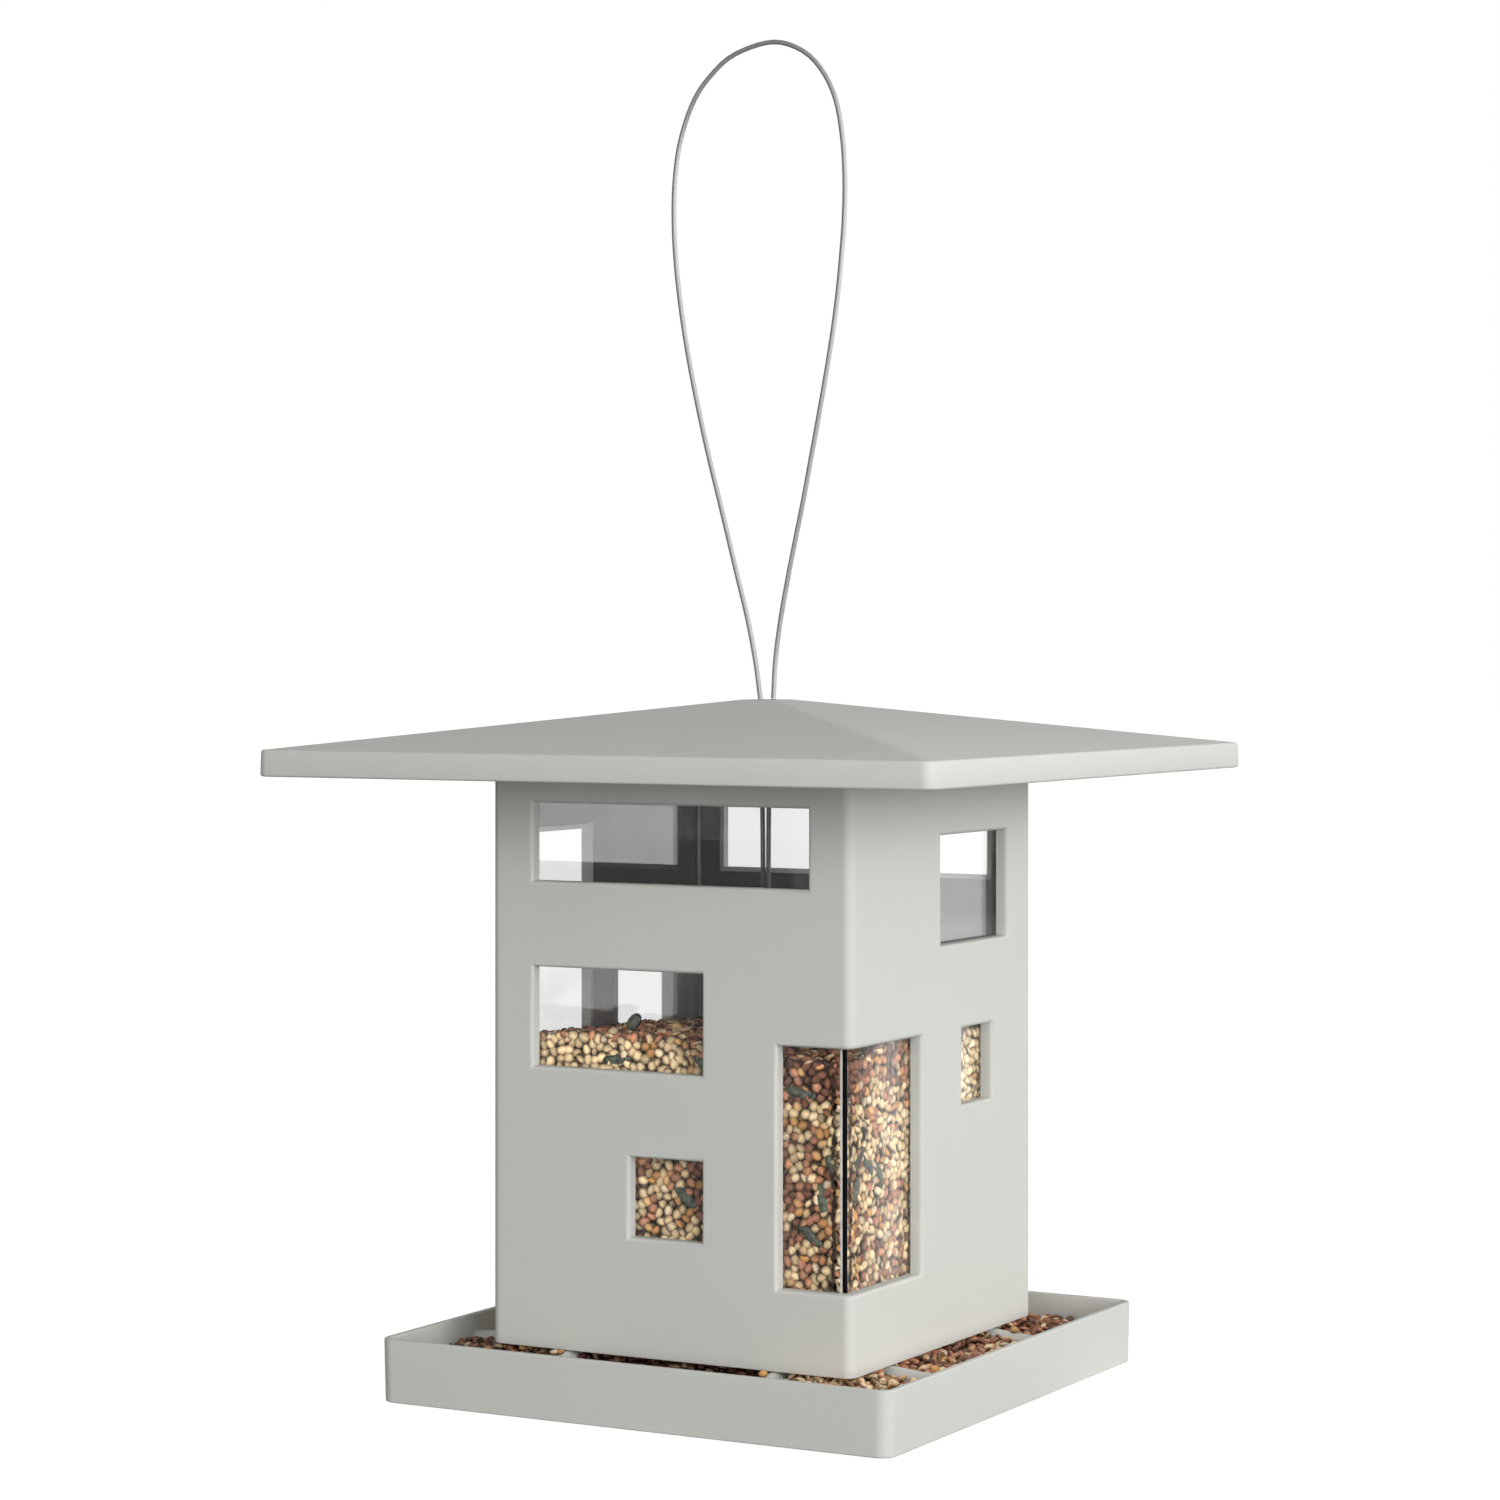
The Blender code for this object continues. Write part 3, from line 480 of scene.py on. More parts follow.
def shaded_plastic(name, looks, level):
    """The house's inner side, painted in shade: near black above, and a lighter grey with streaks
    beside the seed.
    """
    material, shader, shade = new_material(name)
    place = shade.place()
    times = {"operation": "MULTIPLY"}
    drawn = shade.node("VectorMath", times, {0: place, 1: (1.0, 1.0, 0.12)})
    values = {"Vector": drawn, "Scale": 1 / (3.5 * MM), "Detail": 5.0, "Roughness": 0.65}
    streak = shade.node("TexNoise", None, values)
    # Painted shade: near black on the inner side, turning to a lighter grey with streaks beside the
    # seed
    beside = place.part(2).span(level + 36 * MM, level + 26 * MM, 0.0, 1.0)
    dust = beside * (0.45 + streak * 0.9)
    plug(shade, dust.mix(four(looks.inside), four(looks.dulled)), shader, "Base Color")
    plug(shade, 0.55 + streak * 0.2, shader, "Roughness")
    return material


def frosted_seam():
    """A painted highlight: the bright line at each corner of the hopper."""
    material, shader, shade = new_material("frosted_seam")
    fleck = speckle(shade, 1.2 * MM, 3.0)
    plug(shade, (0.86 + fleck * 0.12).grey(), shader, "Base Color")
    plug(shade, 0.25 + fleck * 0.15, shader, "Roughness")
    shader.inputs["Transmission Weight"].default_value = 0.45
    shader.inputs["IOR"].default_value = 1.2
    return material


def clear_plastic(looks):
    """Clear moulded plastic that lets the lamps' light through."""
    material, shader, shade = new_material("clear_plastic")
    shader.inputs["Base Color"].default_value = four(looks.clear)
    shader.inputs["Transmission Weight"].default_value = 1.0
    shader.inputs["IOR"].default_value = 1.5
    smear = speckle(shade, 9 * MM, 4.0, 0.6)
    plug(shade, smear * 0.03, shader, "Roughness")
    through = shade.node("BsdfTransparent", None, {0: (0.93, 0.935, 0.935, 1.0)})
    solid = Shade(shade.tree, shader.outputs[0])
    show(shade, shade.ray("Is Shadow Ray").blend(solid, through))
    return material


def coated_cable(name, looks, dim=1.0):
    """Twisted steel under a clear coat; the twist runs along the tube's own map."""
    material, shader, shade = new_material(name)
    around = shade.place("UV")
    turn = around.part(0) * 7.0 + around.part(1) * 0.9
    lay = shade.math("SINE", turn * (2 * math.pi)) * 0.5 + 0.5
    cloud = speckle(shade, 6 * MM, 2.0)
    cover = (0.80 + lay * 0.16 + cloud * 0.12).grey()
    plug(shade, cover.tint(four(dim * tint for tint in looks.steel)), shader, "Base Color")
    plug(shade, 0.36 + cloud * 0.10 - lay * 0.05, shader, "Roughness")
    plug(shade, relief(shade, lay, 0.03 * MM, 0.6), shader, "Normal")
    shader.inputs["Metallic"].default_value = 0.45
    shader.inputs["Coat Weight"].default_value = 0.3
    shader.inputs["Coat Roughness"].default_value = 0.12
    return material


def dull_metal(name, looks, metal_rough):
    """Plain metal with fine scratches."""
    material, shader, shade = new_material(name)
    scratch = speckle(shade, 0.25 * MM, 4.0, 0.7)
    cloud = speckle(shade, 2.5 * MM, 3.0)
    cover = (0.85 + cloud * 0.15 + scratch * 0.12).grey()
    plug(shade, cover.tint(four(looks.crimp)), shader, "Base Color")
    plug(shade, metal_rough + scratch * 0.2, shader, "Roughness")
    plug(shade, relief(shade, scratch, 0.02 * MM, 0.5), shader, "Normal")
    shader.inputs["Metallic"].default_value = 1.0
    return material


def seed_mix(seed):
    """Mixed seed: each grain's kind, its shade with a painted highlight, and the painted shade of the
    gaps come from the mesh.
    """
    material, shader, shade = new_material("mixed_seed")
    look = shade.node("Attribute", {"attribute_name": "seed_look"}, None, "Vector")
    stops = (
        (0.00, tuple(seed.cream)),
        (0.18, tuple(seed.pale)),
        (0.50, tuple(seed.pale)),
        (0.60, tuple(seed.orange)),
        (0.72, tuple(seed.salmon)),
        (0.84, tuple(seed.brown)),
        (0.94, tuple(seed.husks)),
        (1.00, tuple(seed.husks)),
    )
    kind = shade.node("ValToRGB", {"stops": stops}, {0: look.part(0)})
    fleck = speckle(shade, 0.5 * MM, 3.0, 0.6)
    blotch = speckle(shade, 1.5 * MM, 3.0, 0.6)
    husk = shade.math("GREATER_THAN", look.part(0), 0.9)
    mottle = 1.0 + husk * (blotch * 4.0 - 2.0)
    hull = kind.tint((look.part(1) * (0.82 + fleck * 0.36) * mottle).grey())
    # Painted shade: each grain darkens towards the gap colour at its sides and underside
    plug(shade, look.part(2).mix(hull, four(seed.gaps)), shader, "Base Color")
    plug(shade, 0.34 + fleck * 0.2, shader, "Roughness")
    plug(shade, relief(shade, fleck, 0.06 * MM, 0.6), shader, "Normal")
    return material


def ring(half, radius, height, steps):
    """Points of a level square with round corners, anticlockwise."""
    radius = min(radius, half)
    points = []
    for quarter in range(QUARTERS):
        start = (quarter - 1) * RIGHT_ANGLE
        middle = start + RIGHT_ANGLE / 2
        reach = (half - radius) * math.sqrt(2)
        for step in range(steps + 1):
            turn = start + RIGHT_ANGLE * step / steps
            x = math.cos(middle) * reach + math.cos(turn) * radius
            y = math.sin(middle) * reach + math.sin(turn) * radius
            points.append((x, y, height))
    return points


def fillet_points(before, at, after, fillet):
    """Points of the arc that rounds one corner of a profile."""
    back = before - at
    ahead = after - at
    half_turn = back.angle(ahead) / 2
    reach = min(fillet / math.tan(half_turn), 0.45 * min(back.length, ahead.length))
    size = reach * math.tan(half_turn)
    back.normalize()
    ahead.normalize()
    centre = at + (back + ahead).normalized() * (size / math.sin(half_turn))
    start = (at + back * reach - centre).normalized()
    end = (at + ahead * reach - centre).normalized()
    steps = range(ROUND_STEPS + 1)
    return [centre + start.slerp(end, step / ROUND_STEPS) * size for step in steps]


def profile_rings(corners, steps, loop):
    """Rings through the corners (half, height, fillet, corner radius) of a profile."""
    rings = []
    count = len(corners)
    for index, (half, height, fillet, radius) in enumerate(corners):
        at = Vector((half, height))
        if not fillet or (not loop and index in (0, count - 1)):
            points = [at]
        else:
            before = Vector(corners[index - 1][:2])
            after = Vector(corners[(index + 1) % count][:2])
            points = fillet_points(before, at, after, fillet)
        rings += [ring(p.x, radius, p.y, steps) for p in points]
    return rings


def between(low, high):
    """The corners of each face between two rings."""
    return zip(low, low[1:] + low[:1], high[1:] + high[:1], high)


def skin(bm, rings, loop=False):
    """Faces between rings, closed into a loop or capped at both ends."""
    rows = [[bm.verts.new(point) for point in points] for points in rings]
    for low, high in zip(rows, rows[1:] + rows[:1] if loop else rows[1:]):
        for corners in between(low, high):
            bm.faces.new(corners)
    if not loop:
        bm.faces.new(rows[0])
        bm.faces.new(rows[-1])
    return [vert for row in rows for vert in row]


def bevel(bm, edges, radius, segments):
    return bmesh.ops.bevel(
        bm,
        geom=edges,
        offset=radius,
        offset_type="OFFSET",
        segments=segments,
        profile=0.5,
        affect="EDGES",
    )


def block(bm, low, high, edge=0.0):
    """A box between two corners with round edges, added to what is there."""
    size = Vector(high) - Vector(low)
    place = Matrix.Translation(Vector(low) + size / 2) @ Matrix.Diagonal((*size, 1))
    verts = bmesh.ops.create_cube(bm, size=1, matrix=place)["verts"]
    if edge:
        edges = {e for v in verts for e in v.link_edges}
        made = bevel(bm, list(edges), edge, 2)
        verts = list({*made["verts"], *(v for v in verts if v.is_valid)})
    return verts


def spin(bm, verts, quarter):
    bmesh.ops.rotate(bm, verts=verts, matrix=Matrix.Rotation(quarter * RIGHT_ANGLE, 3, "Z"))


def add_object(name, data):
    item = bpy.data.objects.new(name, data)
    bpy.context.scene.collection.objects.link(item)
    return item


def make(name, bm, material, sharp=35.0, weighted=True):
    """An object from a bmesh, with smooth faces and even walls."""
    bmesh.ops.remove_doubles(bm, verts=bm.verts, dist=0.002 * MM)
    bmesh.ops.recalc_face_normals(bm, faces=bm.faces)
    mesh = bpy.data.meshes.new(name)
    bm.to_mesh(mesh)
    bm.free()
    mesh.materials.append(material)
    mesh.shade_smooth()
    mesh.set_sharp_from_angle(angle=math.radians(sharp))
    item = add_object(name, mesh)
    if weighted:
        modifier = item.modifiers.new("even_walls", "WEIGHTED_NORMAL")
        modifier.weight = 100
        modifier.keep_sharp = True
    return item


def drill(item, holes):
    """Cuts upright holes (x, y, radius, low, high) through a piece."""
    bm = bmesh.new()
    for x, y, radius, low, high in holes:
        bmesh.ops.create_cone(
            bm,
            cap_ends=True,
            segments=32,
            radius1=radius,
            radius2=radius,
            depth=high - low,
            matrix=Matrix.Translation((x, y, (low + high) / 2)),
        )
    mesh = bpy.data.meshes.new("drill")
    bm.to_mesh(mesh)
    bm.free()
    tool = add_object("drill", mesh)
    cut = item.modifiers.new("cut", "BOOLEAN")
    cut.operation = "DIFFERENCE"
    cut.solver = "EXACT"
    cut.object = tool
    bpy.context.view_layer.update()
    depsgraph = bpy.context.evaluated_depsgraph_get()
    result = bpy.data.meshes.new_from_object(item.evaluated_get(depsgraph))
    item.modifiers.remove(cut)
    old = item.data
    item.data = result
    bpy.data.meshes.remove(old)
    bpy.data.objects.remove(tool)


def deepen(bm, low):
    """Extrudes a sheet down to a level, and gives its lower points."""
    grown = bmesh.ops.extrude_face_region(bm, geom=bm.faces[:])["geom"]
    lower = [item for item in grown if isinstance(item, bmesh.types.BMVert)]
    for vert in lower:
        vert.co.z = low
    return lower


def finish_piece(item, body, slot, *nodes):
    """Puts a piece on its body, in place of its packed nodes."""
    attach(item, body)
    if nodes:
        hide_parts(*nodes)


def smooth_route(points, count):
    """Evenly spaced points on a smooth curve through the given ones."""
    padded = [2 * points[0] - points[1], *points, 2 * points[-1] - points[-2]]
    fine = []
    steps = 10
    for before, start, end, after in zip(padded, padded[1:], padded[2:], padded[3:]):
        for step in range(steps):
            t = step / steps
            bend = (2 * before - 5 * start + 4 * end - after) * t**2
            swing = (3 * start - before - 3 * end + after) * t**3
            fine.append((2 * start + (end - before) * t + bend + swing) / 2)
    fine.append(points[-1])
    along = np.concatenate([[0.0], np.cumsum([(b - a).length for a, b in zip(fine, fine[1:])])])
    targets = np.linspace(0.0, along[-1], count)
    axes = [np.interp(targets, along, [p[i] for p in fine]) for i in range(3)]
    return [Vector(p) for p in zip(*axes)]


def wire_tube(name, route, radius, material):
    """A round wire along a route in the plane of the loop, with a map round and along it."""
    bm = bmesh.new()
    sides = 12
    across = Vector((0, 1, 0))
    rows = []
    along = [0.0]
    for a, b in zip(route, route[1:]):
        along.append(along[-1] + (b - a).length)
    for index, point in enumerate(route):
        ahead = route[min(index + 1, len(route) - 1)] - route[max(index - 1, 0)]
        side = ahead.normalized().cross(across)
        row = []
        for step in range(sides):
            turn = 2 * math.pi * step / sides
            reach = math.cos(turn) * side + math.sin(turn) * across
            row.append(bm.verts.new(point + radius * reach))
        rows.append(row)
    layer = bm.loops.layers.uv.new("lay")
    for index, (low, high) in enumerate(zip(rows, rows[1:])):
        ends = (along[index] / radius, along[index + 1] / radius)
        for step in range(sides):
            after = (step + 1) % sides
            face = bm.faces.new((low[step], low[after], high[after], high[step]))
            places = ((step, 0), (step + 1, 0), (step + 1, 1), (step, 1))
            for corner, (around, end) in zip(face.loops, places):
                corner[layer].uv = (around / sides, ends[end] / (2 * math.pi))
    bm.faces.new(rows[0])
    bm.faces.new(rows[-1])
    return make(name, bm, material, sharp=60.0, weighted=False)


def house_windows(house):
    """Every window as (side, left, right, low, high) in metres."""
    tall = house.high - house.low

    def window(side, left, right, low, high):
        ends = (left * house.half, right * house.half)
        return (side, *ends, house.low + low * tall, house.low + high * tall)

    left, right, low, high = CORNER_WINDOW_SHARES
    windows = [window(side, *row) for side, table in enumerate(WINDOW_SHARES) for row in table]
    return [*windows, window(0, left, 1, low, high), window(1, -1, right, low, high)]


def turned(x, y, quarter):
    """A place on the front side, turned round to one of the four sides."""
    spot = Vector((x, y))
    spot.rotate(Matrix.Rotation(quarter * RIGHT_ANGLE, 2))
    return spot


class FEEDER_OT_stage(bpy.types.Operator):
    """Makes the camera, the lamps, the white surroundings and the floor"""

    bl_idname = "feeder.stage"
    bl_label = "Stage"

    def execute(self, context):
        looks = context.scene.feeder_looks
        self.camera(context)
        self.lamps(looks)
        self.surroundings(context, looks)
        self.floor(looks)
        context.scene.view_settings.view_transform = "Standard"
        return {"FINISHED"}

    def camera(self, context):
        data = bpy.data.cameras.new("photo_camera")
        data.sensor_width = CAMERA_SENSOR
        data.lens = CAMERA_LENS
        data.shift_y = CAMERA_SHIFT
        data.clip_start = 0.01
        camera = add_object("photo_camera", data)
        camera.location = CAMERA_PLACE
        camera.rotation_euler = (RIGHT_ANGLE, 0, CAMERA_TURN)
        context.scene.camera = camera

    def lamps(self, looks):
        for name, key, size, place in LAMPS:
            data = bpy.data.lights.new(name, "AREA")
            data.energy = getattr(looks, key)
            data.size = size
            lamp = add_object(name, data)
            lamp.visible_glossy = False
            lamp.location = place
            towards = Vector(LAMP_AIM) - Vector(place)
            lamp.rotation_euler = towards.to_track_quat("-Z", "Y").to_euler()

    def surroundings(self, context, looks):
        world = bpy.data.worlds.new("white_studio")
        context.scene.world = world
        world.use_nodes = True
        tree = world.node_tree
        tree.nodes.clear()
        shade = Shade(tree)
        place = shade.place("Generated")
        mirrored = shade.ray("Is Glossy Ray")
        lit = self.sideways(place, looks.left, looks.right)
        shown = self.sideways(place, looks.mirror_left, looks.mirror_right)
        behind = shade.math("MAXIMUM", place.part(1), 0.0) * looks.back
        sideways = lit + behind + mirrored * (shown - lit - behind)
        upward = place.part(2).span(*SKY_FADE, 1.0, looks.overhead)
        got_in = 1.0 - shade.ray("Is Transmission Ray") * (1.0 - looks.indoors)
        soft = shade.glow(sideways * upward * got_in, "Background")
        camera, clear = self.seen(shade)
        white = shade.glow(1.0 - clear * (1.0 - looks.through), "Background")
        both = shade.math("MAXIMUM", camera, clear).blend(soft, white)
        output = tree.nodes.new("ShaderNodeOutputWorld")
        tree.links.new(both.socket, output.inputs["Surface"])

    def sideways(self, direction, left, right):
        """Strength of the light from a direction: it grows from the left to the right."""
        rightness = (direction.part(0) * 0.5 + 0.5) ** 2.0
        return left + rightness * (right - left)

    def seen(self, shade):
        """1 for rays straight from the view, and 1 for those that come through the hopper."""
        bounced = shade.ray("Diffuse Depth") + shade.ray("Glossy Depth")
        clear = shade.ray("Is Transmission Ray") * shade.math("LESS_THAN", bounced, 0.5)
        return shade.ray("Is Camera Ray"), clear

    def floor(self, looks):
        bm = bmesh.new()
        bmesh.ops.create_grid(bm, x_segments=8, y_segments=8, size=FLOOR_HALF)
        bmesh.ops.translate(bm, verts=bm.verts, vec=(0, 0, -FLOOR_DEPTH))
        material, shader, shade = new_material("pale_floor")
        shader.inputs["Base Color"].default_value = four([looks.floor] * 3)
        shader.inputs["Roughness"].default_value = 0.9
        shader.inputs["Specular IOR Level"].default_value = 0.0
        glow = shade.glow(1.0 - looks.floor * 0.3)
        place = shade.place()
        outward = shade.node("VectorMath", {"operation": "NORMALIZE"}, {0: place})
        beside = place.part(0) * PANEL_ACROSS[0] + place.part(1) * PANEL_ACROSS[1]
        panel = beside.span(*PANEL_EDGE, *PANEL_LIGHT)
        reach = shade.node("VectorMath", {"operation": "LENGTH"}, {0: place}, "Value")
        panel = shade.math("MAXIMUM", panel, reach.span(*PANEL_END, 0.0, 1.0))
        shown = self.sideways(outward, looks.mirror_left, looks.mirror_right) * panel
        matt = Shade(shade.tree, shader.outputs[0])
        lit = shade.ray("Is Glossy Ray").blend(matt, shade.glow(shown))
        white = shade.node("AddShader", None, {0: lit, 1: glow})
        camera, clear = self.seen(shade)
        show(shade, clear.blend(camera.blend(lit, white), shade.glow(looks.through)))
        make("floor", bm, material, weighted=False)


class FEEDER_OT_cable(bpy.types.Operator):
    """Makes the cable: its free loop above the roof and its two strands in the hopper"""

    bl_idname = "feeder.cable"
    bl_label = "Cable"

    def execute(self, context):
        scene = context.scene
        cable, roof = scene.feeder_cable, scene.feeder_roof
        steel = coated_cable("coated_cable", scene.feeder_looks)
        # The strands in the house are painted darker, at 0.45 of the cable's colour
        dulled = coated_cable("dusty_cable", scene.feeder_looks, 0.45)
        radius = cable.wire / 2
        foot = roof.top + 0.15 * MM
        route = [Vector((-roof.hole_spread, 0, foot))]
        route += [Vector((x, 0, roof.top + z)) for x, z in LOOP_ROUTE]
        route.append(Vector((roof.hole_spread, 0, foot)))
        route = smooth_route(route, 160)
        top = max(p.z for p in route)
        spare = node_high("cable_loop") - radius - top
        for point in route:
            point.z += spare * (point.z - foot) / (top - foot)
        loop = wire_tube("cable_loop_wire", route, radius, steel)
        finish_piece(loop, "feeder", "coated_cable", "cable_loop")
        top = max(p.z for p in route)
        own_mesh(loop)
        for name, side in (("left", -1), ("right", 1)):
            self.strand(name, side, cable, roof, dulled)
        return {"FINISHED"}

    def strand(self, name, side, cable, roof, material):
        """One strand from the crimp up to the roof's hole."""
        node = f"cable_strand_{name}"
        low, high = node_low(node), node_high(node)
        seat = node_low("hopper_seed")
        spread_rise = (roof.top - seat) * 0.3
        parting = roof.top - spread_rise
        hole_low = roof.top - roof.wall - roof.boss_depth
        bend = (roof.hole_spread - cable.spread) * 0.2
        places = (
            (cable.spread, low),
            (cable.spread, parting - spread_rise),
            (cable.spread, parting),
            (cable.spread + bend, parting + spread_rise / 2),
            (roof.hole_spread - bend, hole_low),
            (roof.hole_spread, high),
        )
        route = smooth_route([Vector((side * x, 0, z)) for x, z in places], 90)
        strand = wire_tube(f"{node}_wire", route, cable.wire / 2, material)
        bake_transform(strand)
        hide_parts(node)


class FEEDER_OT_roof(bpy.types.Operator):
    """Makes the roof with its skirt, its collar and the boss that guides the cable"""

    bl_idname = "feeder.roof"
    bl_label = "Roof"

    def execute(self, context):
        scene = context.scene
        roof = scene.feeder_roof
        eave_half = roof.half - roof.draft
        slope = roof.rise / (eave_half - roof.flat_half)
        plumb = roof.wall * math.hypot(1, slope)

        def under(half):
            return roof.top - plumb - slope * (half - roof.flat_half)

        eave = roof.top - roof.rise
        foot = eave - roof.skirt
        inner = roof.half - roof.wall
        collar_inner = roof.collar_half - roof.collar_wall
        midway = roof.half * 0.45
        round_top = roof.corner * roof.flat_half / roof.half
        crown = roof.top - slope * (roof.crown_half - roof.flat_half)
        corners = (
            (roof.crown_half * 0.2, crown, 0, round_top),
            (roof.crown_half, crown, 1.5 * MM, round_top),
            (midway, eave + slope * (eave_half - midway), 0, roof.corner * 0.45),
            (eave_half, eave, roof.edge, roof.corner),
            (roof.half, foot, roof.edge, roof.corner),
            (inner, foot, roof.edge * 0.7, roof.corner - roof.wall),
            (inner - roof.draft, under(inner), 1.2 * MM, roof.corner - roof.wall),
            (roof.collar_half, under(roof.collar_half), 0.8 * MM, 1.2 * MM),
            (roof.collar_half, roof.collar_low, 0.5 * MM, 1.2 * MM),
            (collar_inner, roof.collar_low, 0.5 * MM, 0.6 * MM),
            (collar_inner, under(collar_inner), 0.8 * MM, 0.6 * MM),
            (roof.crown_half, crown - plumb, 1.5 * MM, round_top),
            (roof.crown_half * 0.2, crown - plumb, 0, round_top),
        )
        bm = bmesh.new()
        skin(bm, profile_rings(corners, 10, False))
        plastic = grey_plastic("roof_plastic", scene.feeder_looks)
        item = make("roof_shell_moulding", bm, plastic, weighted=False)
        low = roof.top - plumb - roof.boss_depth
        size = (roof.hole_radius, low - MM, roof.top + MM)
        holes = [(side * roof.hole_spread, 0, *size) for side in (-1, 1)]
        drill(item, holes)
        finish_piece(item, "roof", "roof_plastic", "roof_shell")
        boss = bmesh.new()
        top = roof.top - roof.wall * 0.6
        edge = 0.5 * MM
        round_corners = (
            (roof.boss_radius * 0.7, low, 0, roof.boss_radius),
            (roof.boss_radius, low, edge, roof.boss_radius),
            (roof.boss_radius, top, 0, roof.boss_radius),
        )
        skin(boss, profile_rings(round_corners, 12, False))
        boss_item = make("roof_cable_boss", boss, plastic, weighted=False)
        drill(boss_item, holes)
        finish_piece(boss_item, "roof", "roof_plastic")
        return {"FINISHED"}


class FEEDER_OT_house(bpy.types.Operator):
    """Makes the house with a round edge at every window"""

    bl_idname = "feeder.house"
    bl_label = "House"

    def execute(self, context):
        scene = context.scene
        house = scene.feeder_house
        windows = house_windows(house)
        bm = bmesh.new()
        self.walls(bm, house, windows)
        bmesh.ops.solidify(bm, geom=bm.faces[:], thickness=house.wall)
        self.round_edges(bm, house)
        plastic = grey_plastic("house_plastic", scene.feeder_looks)
        # The inner faces get shaded_plastic, the painted shade of the inside
        for face in bm.faces:
            face.material_index = int(self.inside(face, house))
        item = make("house_shell_moulding", bm, plastic)
        inner = shaded_plastic("house_inside", scene.feeder_looks, scene.feeder_seed.level)
        item.data.materials.append(inner)
        finish_piece(item, "feeder", "house_plastic", "house_shell")
        rims = self.returns(house, windows)
        returns = make("house_window_returns", rims, plastic, weighted=False)
        finish_piece(returns, "feeder", "house_plastic")
        return {"FINISHED"}

    def inside(self, face, house):
        """Whether a face is on the house's inner side."""
        depth = house.half - house.wall + 0.1 * MM
        return all(max(abs(v.co.x), abs(v.co.y)) < depth for v in face.verts)

    def returns(self, house, windows):
        """A rim round each window, from the wall back to the hopper."""
        bm = bmesh.new()
        front = 0.2 * MM - house.half + house.wall * 0.9
        back = -house.liner_half - 0.1 * MM
        edge = house.wall / 2
        for side, left, right, low, high in windows:
            ends = [max(left, -house.liner_half), min(right, house.liner_half)]
            bars = [(ends[0], ends[1], low - edge, low), (ends[0], ends[1], high, high + edge)]
            if left > -house.liner_half:
                bars.append((left - edge, left, low - edge, high + edge))
            if right < house.liner_half:
                bars.append((right, right + edge, low - edge, high + edge))
            for first, last, bottom, top in bars:
                spin(bm, block(bm, (first, front, bottom), (last, back, top)), side)
        return bm

    def outline(self, house, windows):
        """Points round the outer surface, with one at each side of every window."""
        steps = 8
        corners = ring(house.half, house.corner, 0.0, steps)
        straight = house.half - house.corner
        points = []
        for side in range(QUARTERS):
            offsets = set()
            for window_side, left, right, _low, _high in windows:
                if window_side == side:
                    offsets.update(x for x in (left, right) if abs(x) < straight)
            points += [turned(x, -house.half, side) for x in sorted(offsets)]
            first = side * (steps + 1)
            points += [Vector(p[:2]) for p in corners[first : first + steps + 1]]
        return points

    def walls(self, bm, house, windows):
        """The outer surface as rows of faces, with the windows left out."""
        outline = self.outline(house, windows)
        levels = {house.high}
        for _side, _left, _right, low, high in windows:
            levels.update((low, high))
        heights = (house.low, *sorted(levels))
        rows = [[bm.verts.new((p.x, p.y, z)) for p in outline] for z in heights]
        for low, high in zip(rows, rows[1:]):
            for corners in between(low, high):
                centre = (corners[0].co + corners[2].co) / 2
                if not self.in_window(centre, house, windows):
                    bm.faces.new(corners)
        bmesh.ops.delete(bm, geom=[v for v in bm.verts if not v.link_faces], context="VERTS")
        bmesh.ops.recalc_face_normals(bm, faces=bm.faces)

    def in_window(self, centre, house, windows):
        depth = house.wall - house.half
        for side, left, right, low, high in windows:
            flat = turned(centre.x, centre.y, -side)
            if left < flat.x < right and flat.y < depth and low < centre.z < high:
                return True
        return False

    def round_edges(self, bm, house):
        """Rounds the windows' outer edges, and the house's own lower and upper ones a little."""
        rims, ends = [], []
        lowest = house.low + house.wall / 2
        highest = house.high - house.wall / 2
        for edge in bm.edges:
            if len(edge.link_faces) != 2 or edge.calc_face_angle() < RIGHT_ANGLE / 2:
                continue
            if not all(self.outside(v.co, house) for v in edge.verts):
                continue
            if all(lowest < v.co.z < highest for v in edge.verts):
                rims.append(edge)
            else:
                ends.append(edge)
        for edges, radius, segments in ((rims, house.fillet, 4), (ends, house.rim, 2)):
            bevel(bm, [e for e in edges if e.is_valid], radius, segments)

    def outside(self, spot, house):
        """Whether a point is on the house's outer side."""
        centre = house.half - house.corner
        corner = Vector((max(abs(spot.x) - centre, 0), max(abs(spot.y) - centre, 0)))
        if corner.x > 0 and corner.y > 0:
            return corner.length > house.corner - house.wall / 2
        return max(abs(spot.x), abs(spot.y)) > house.half - house.wall / 2


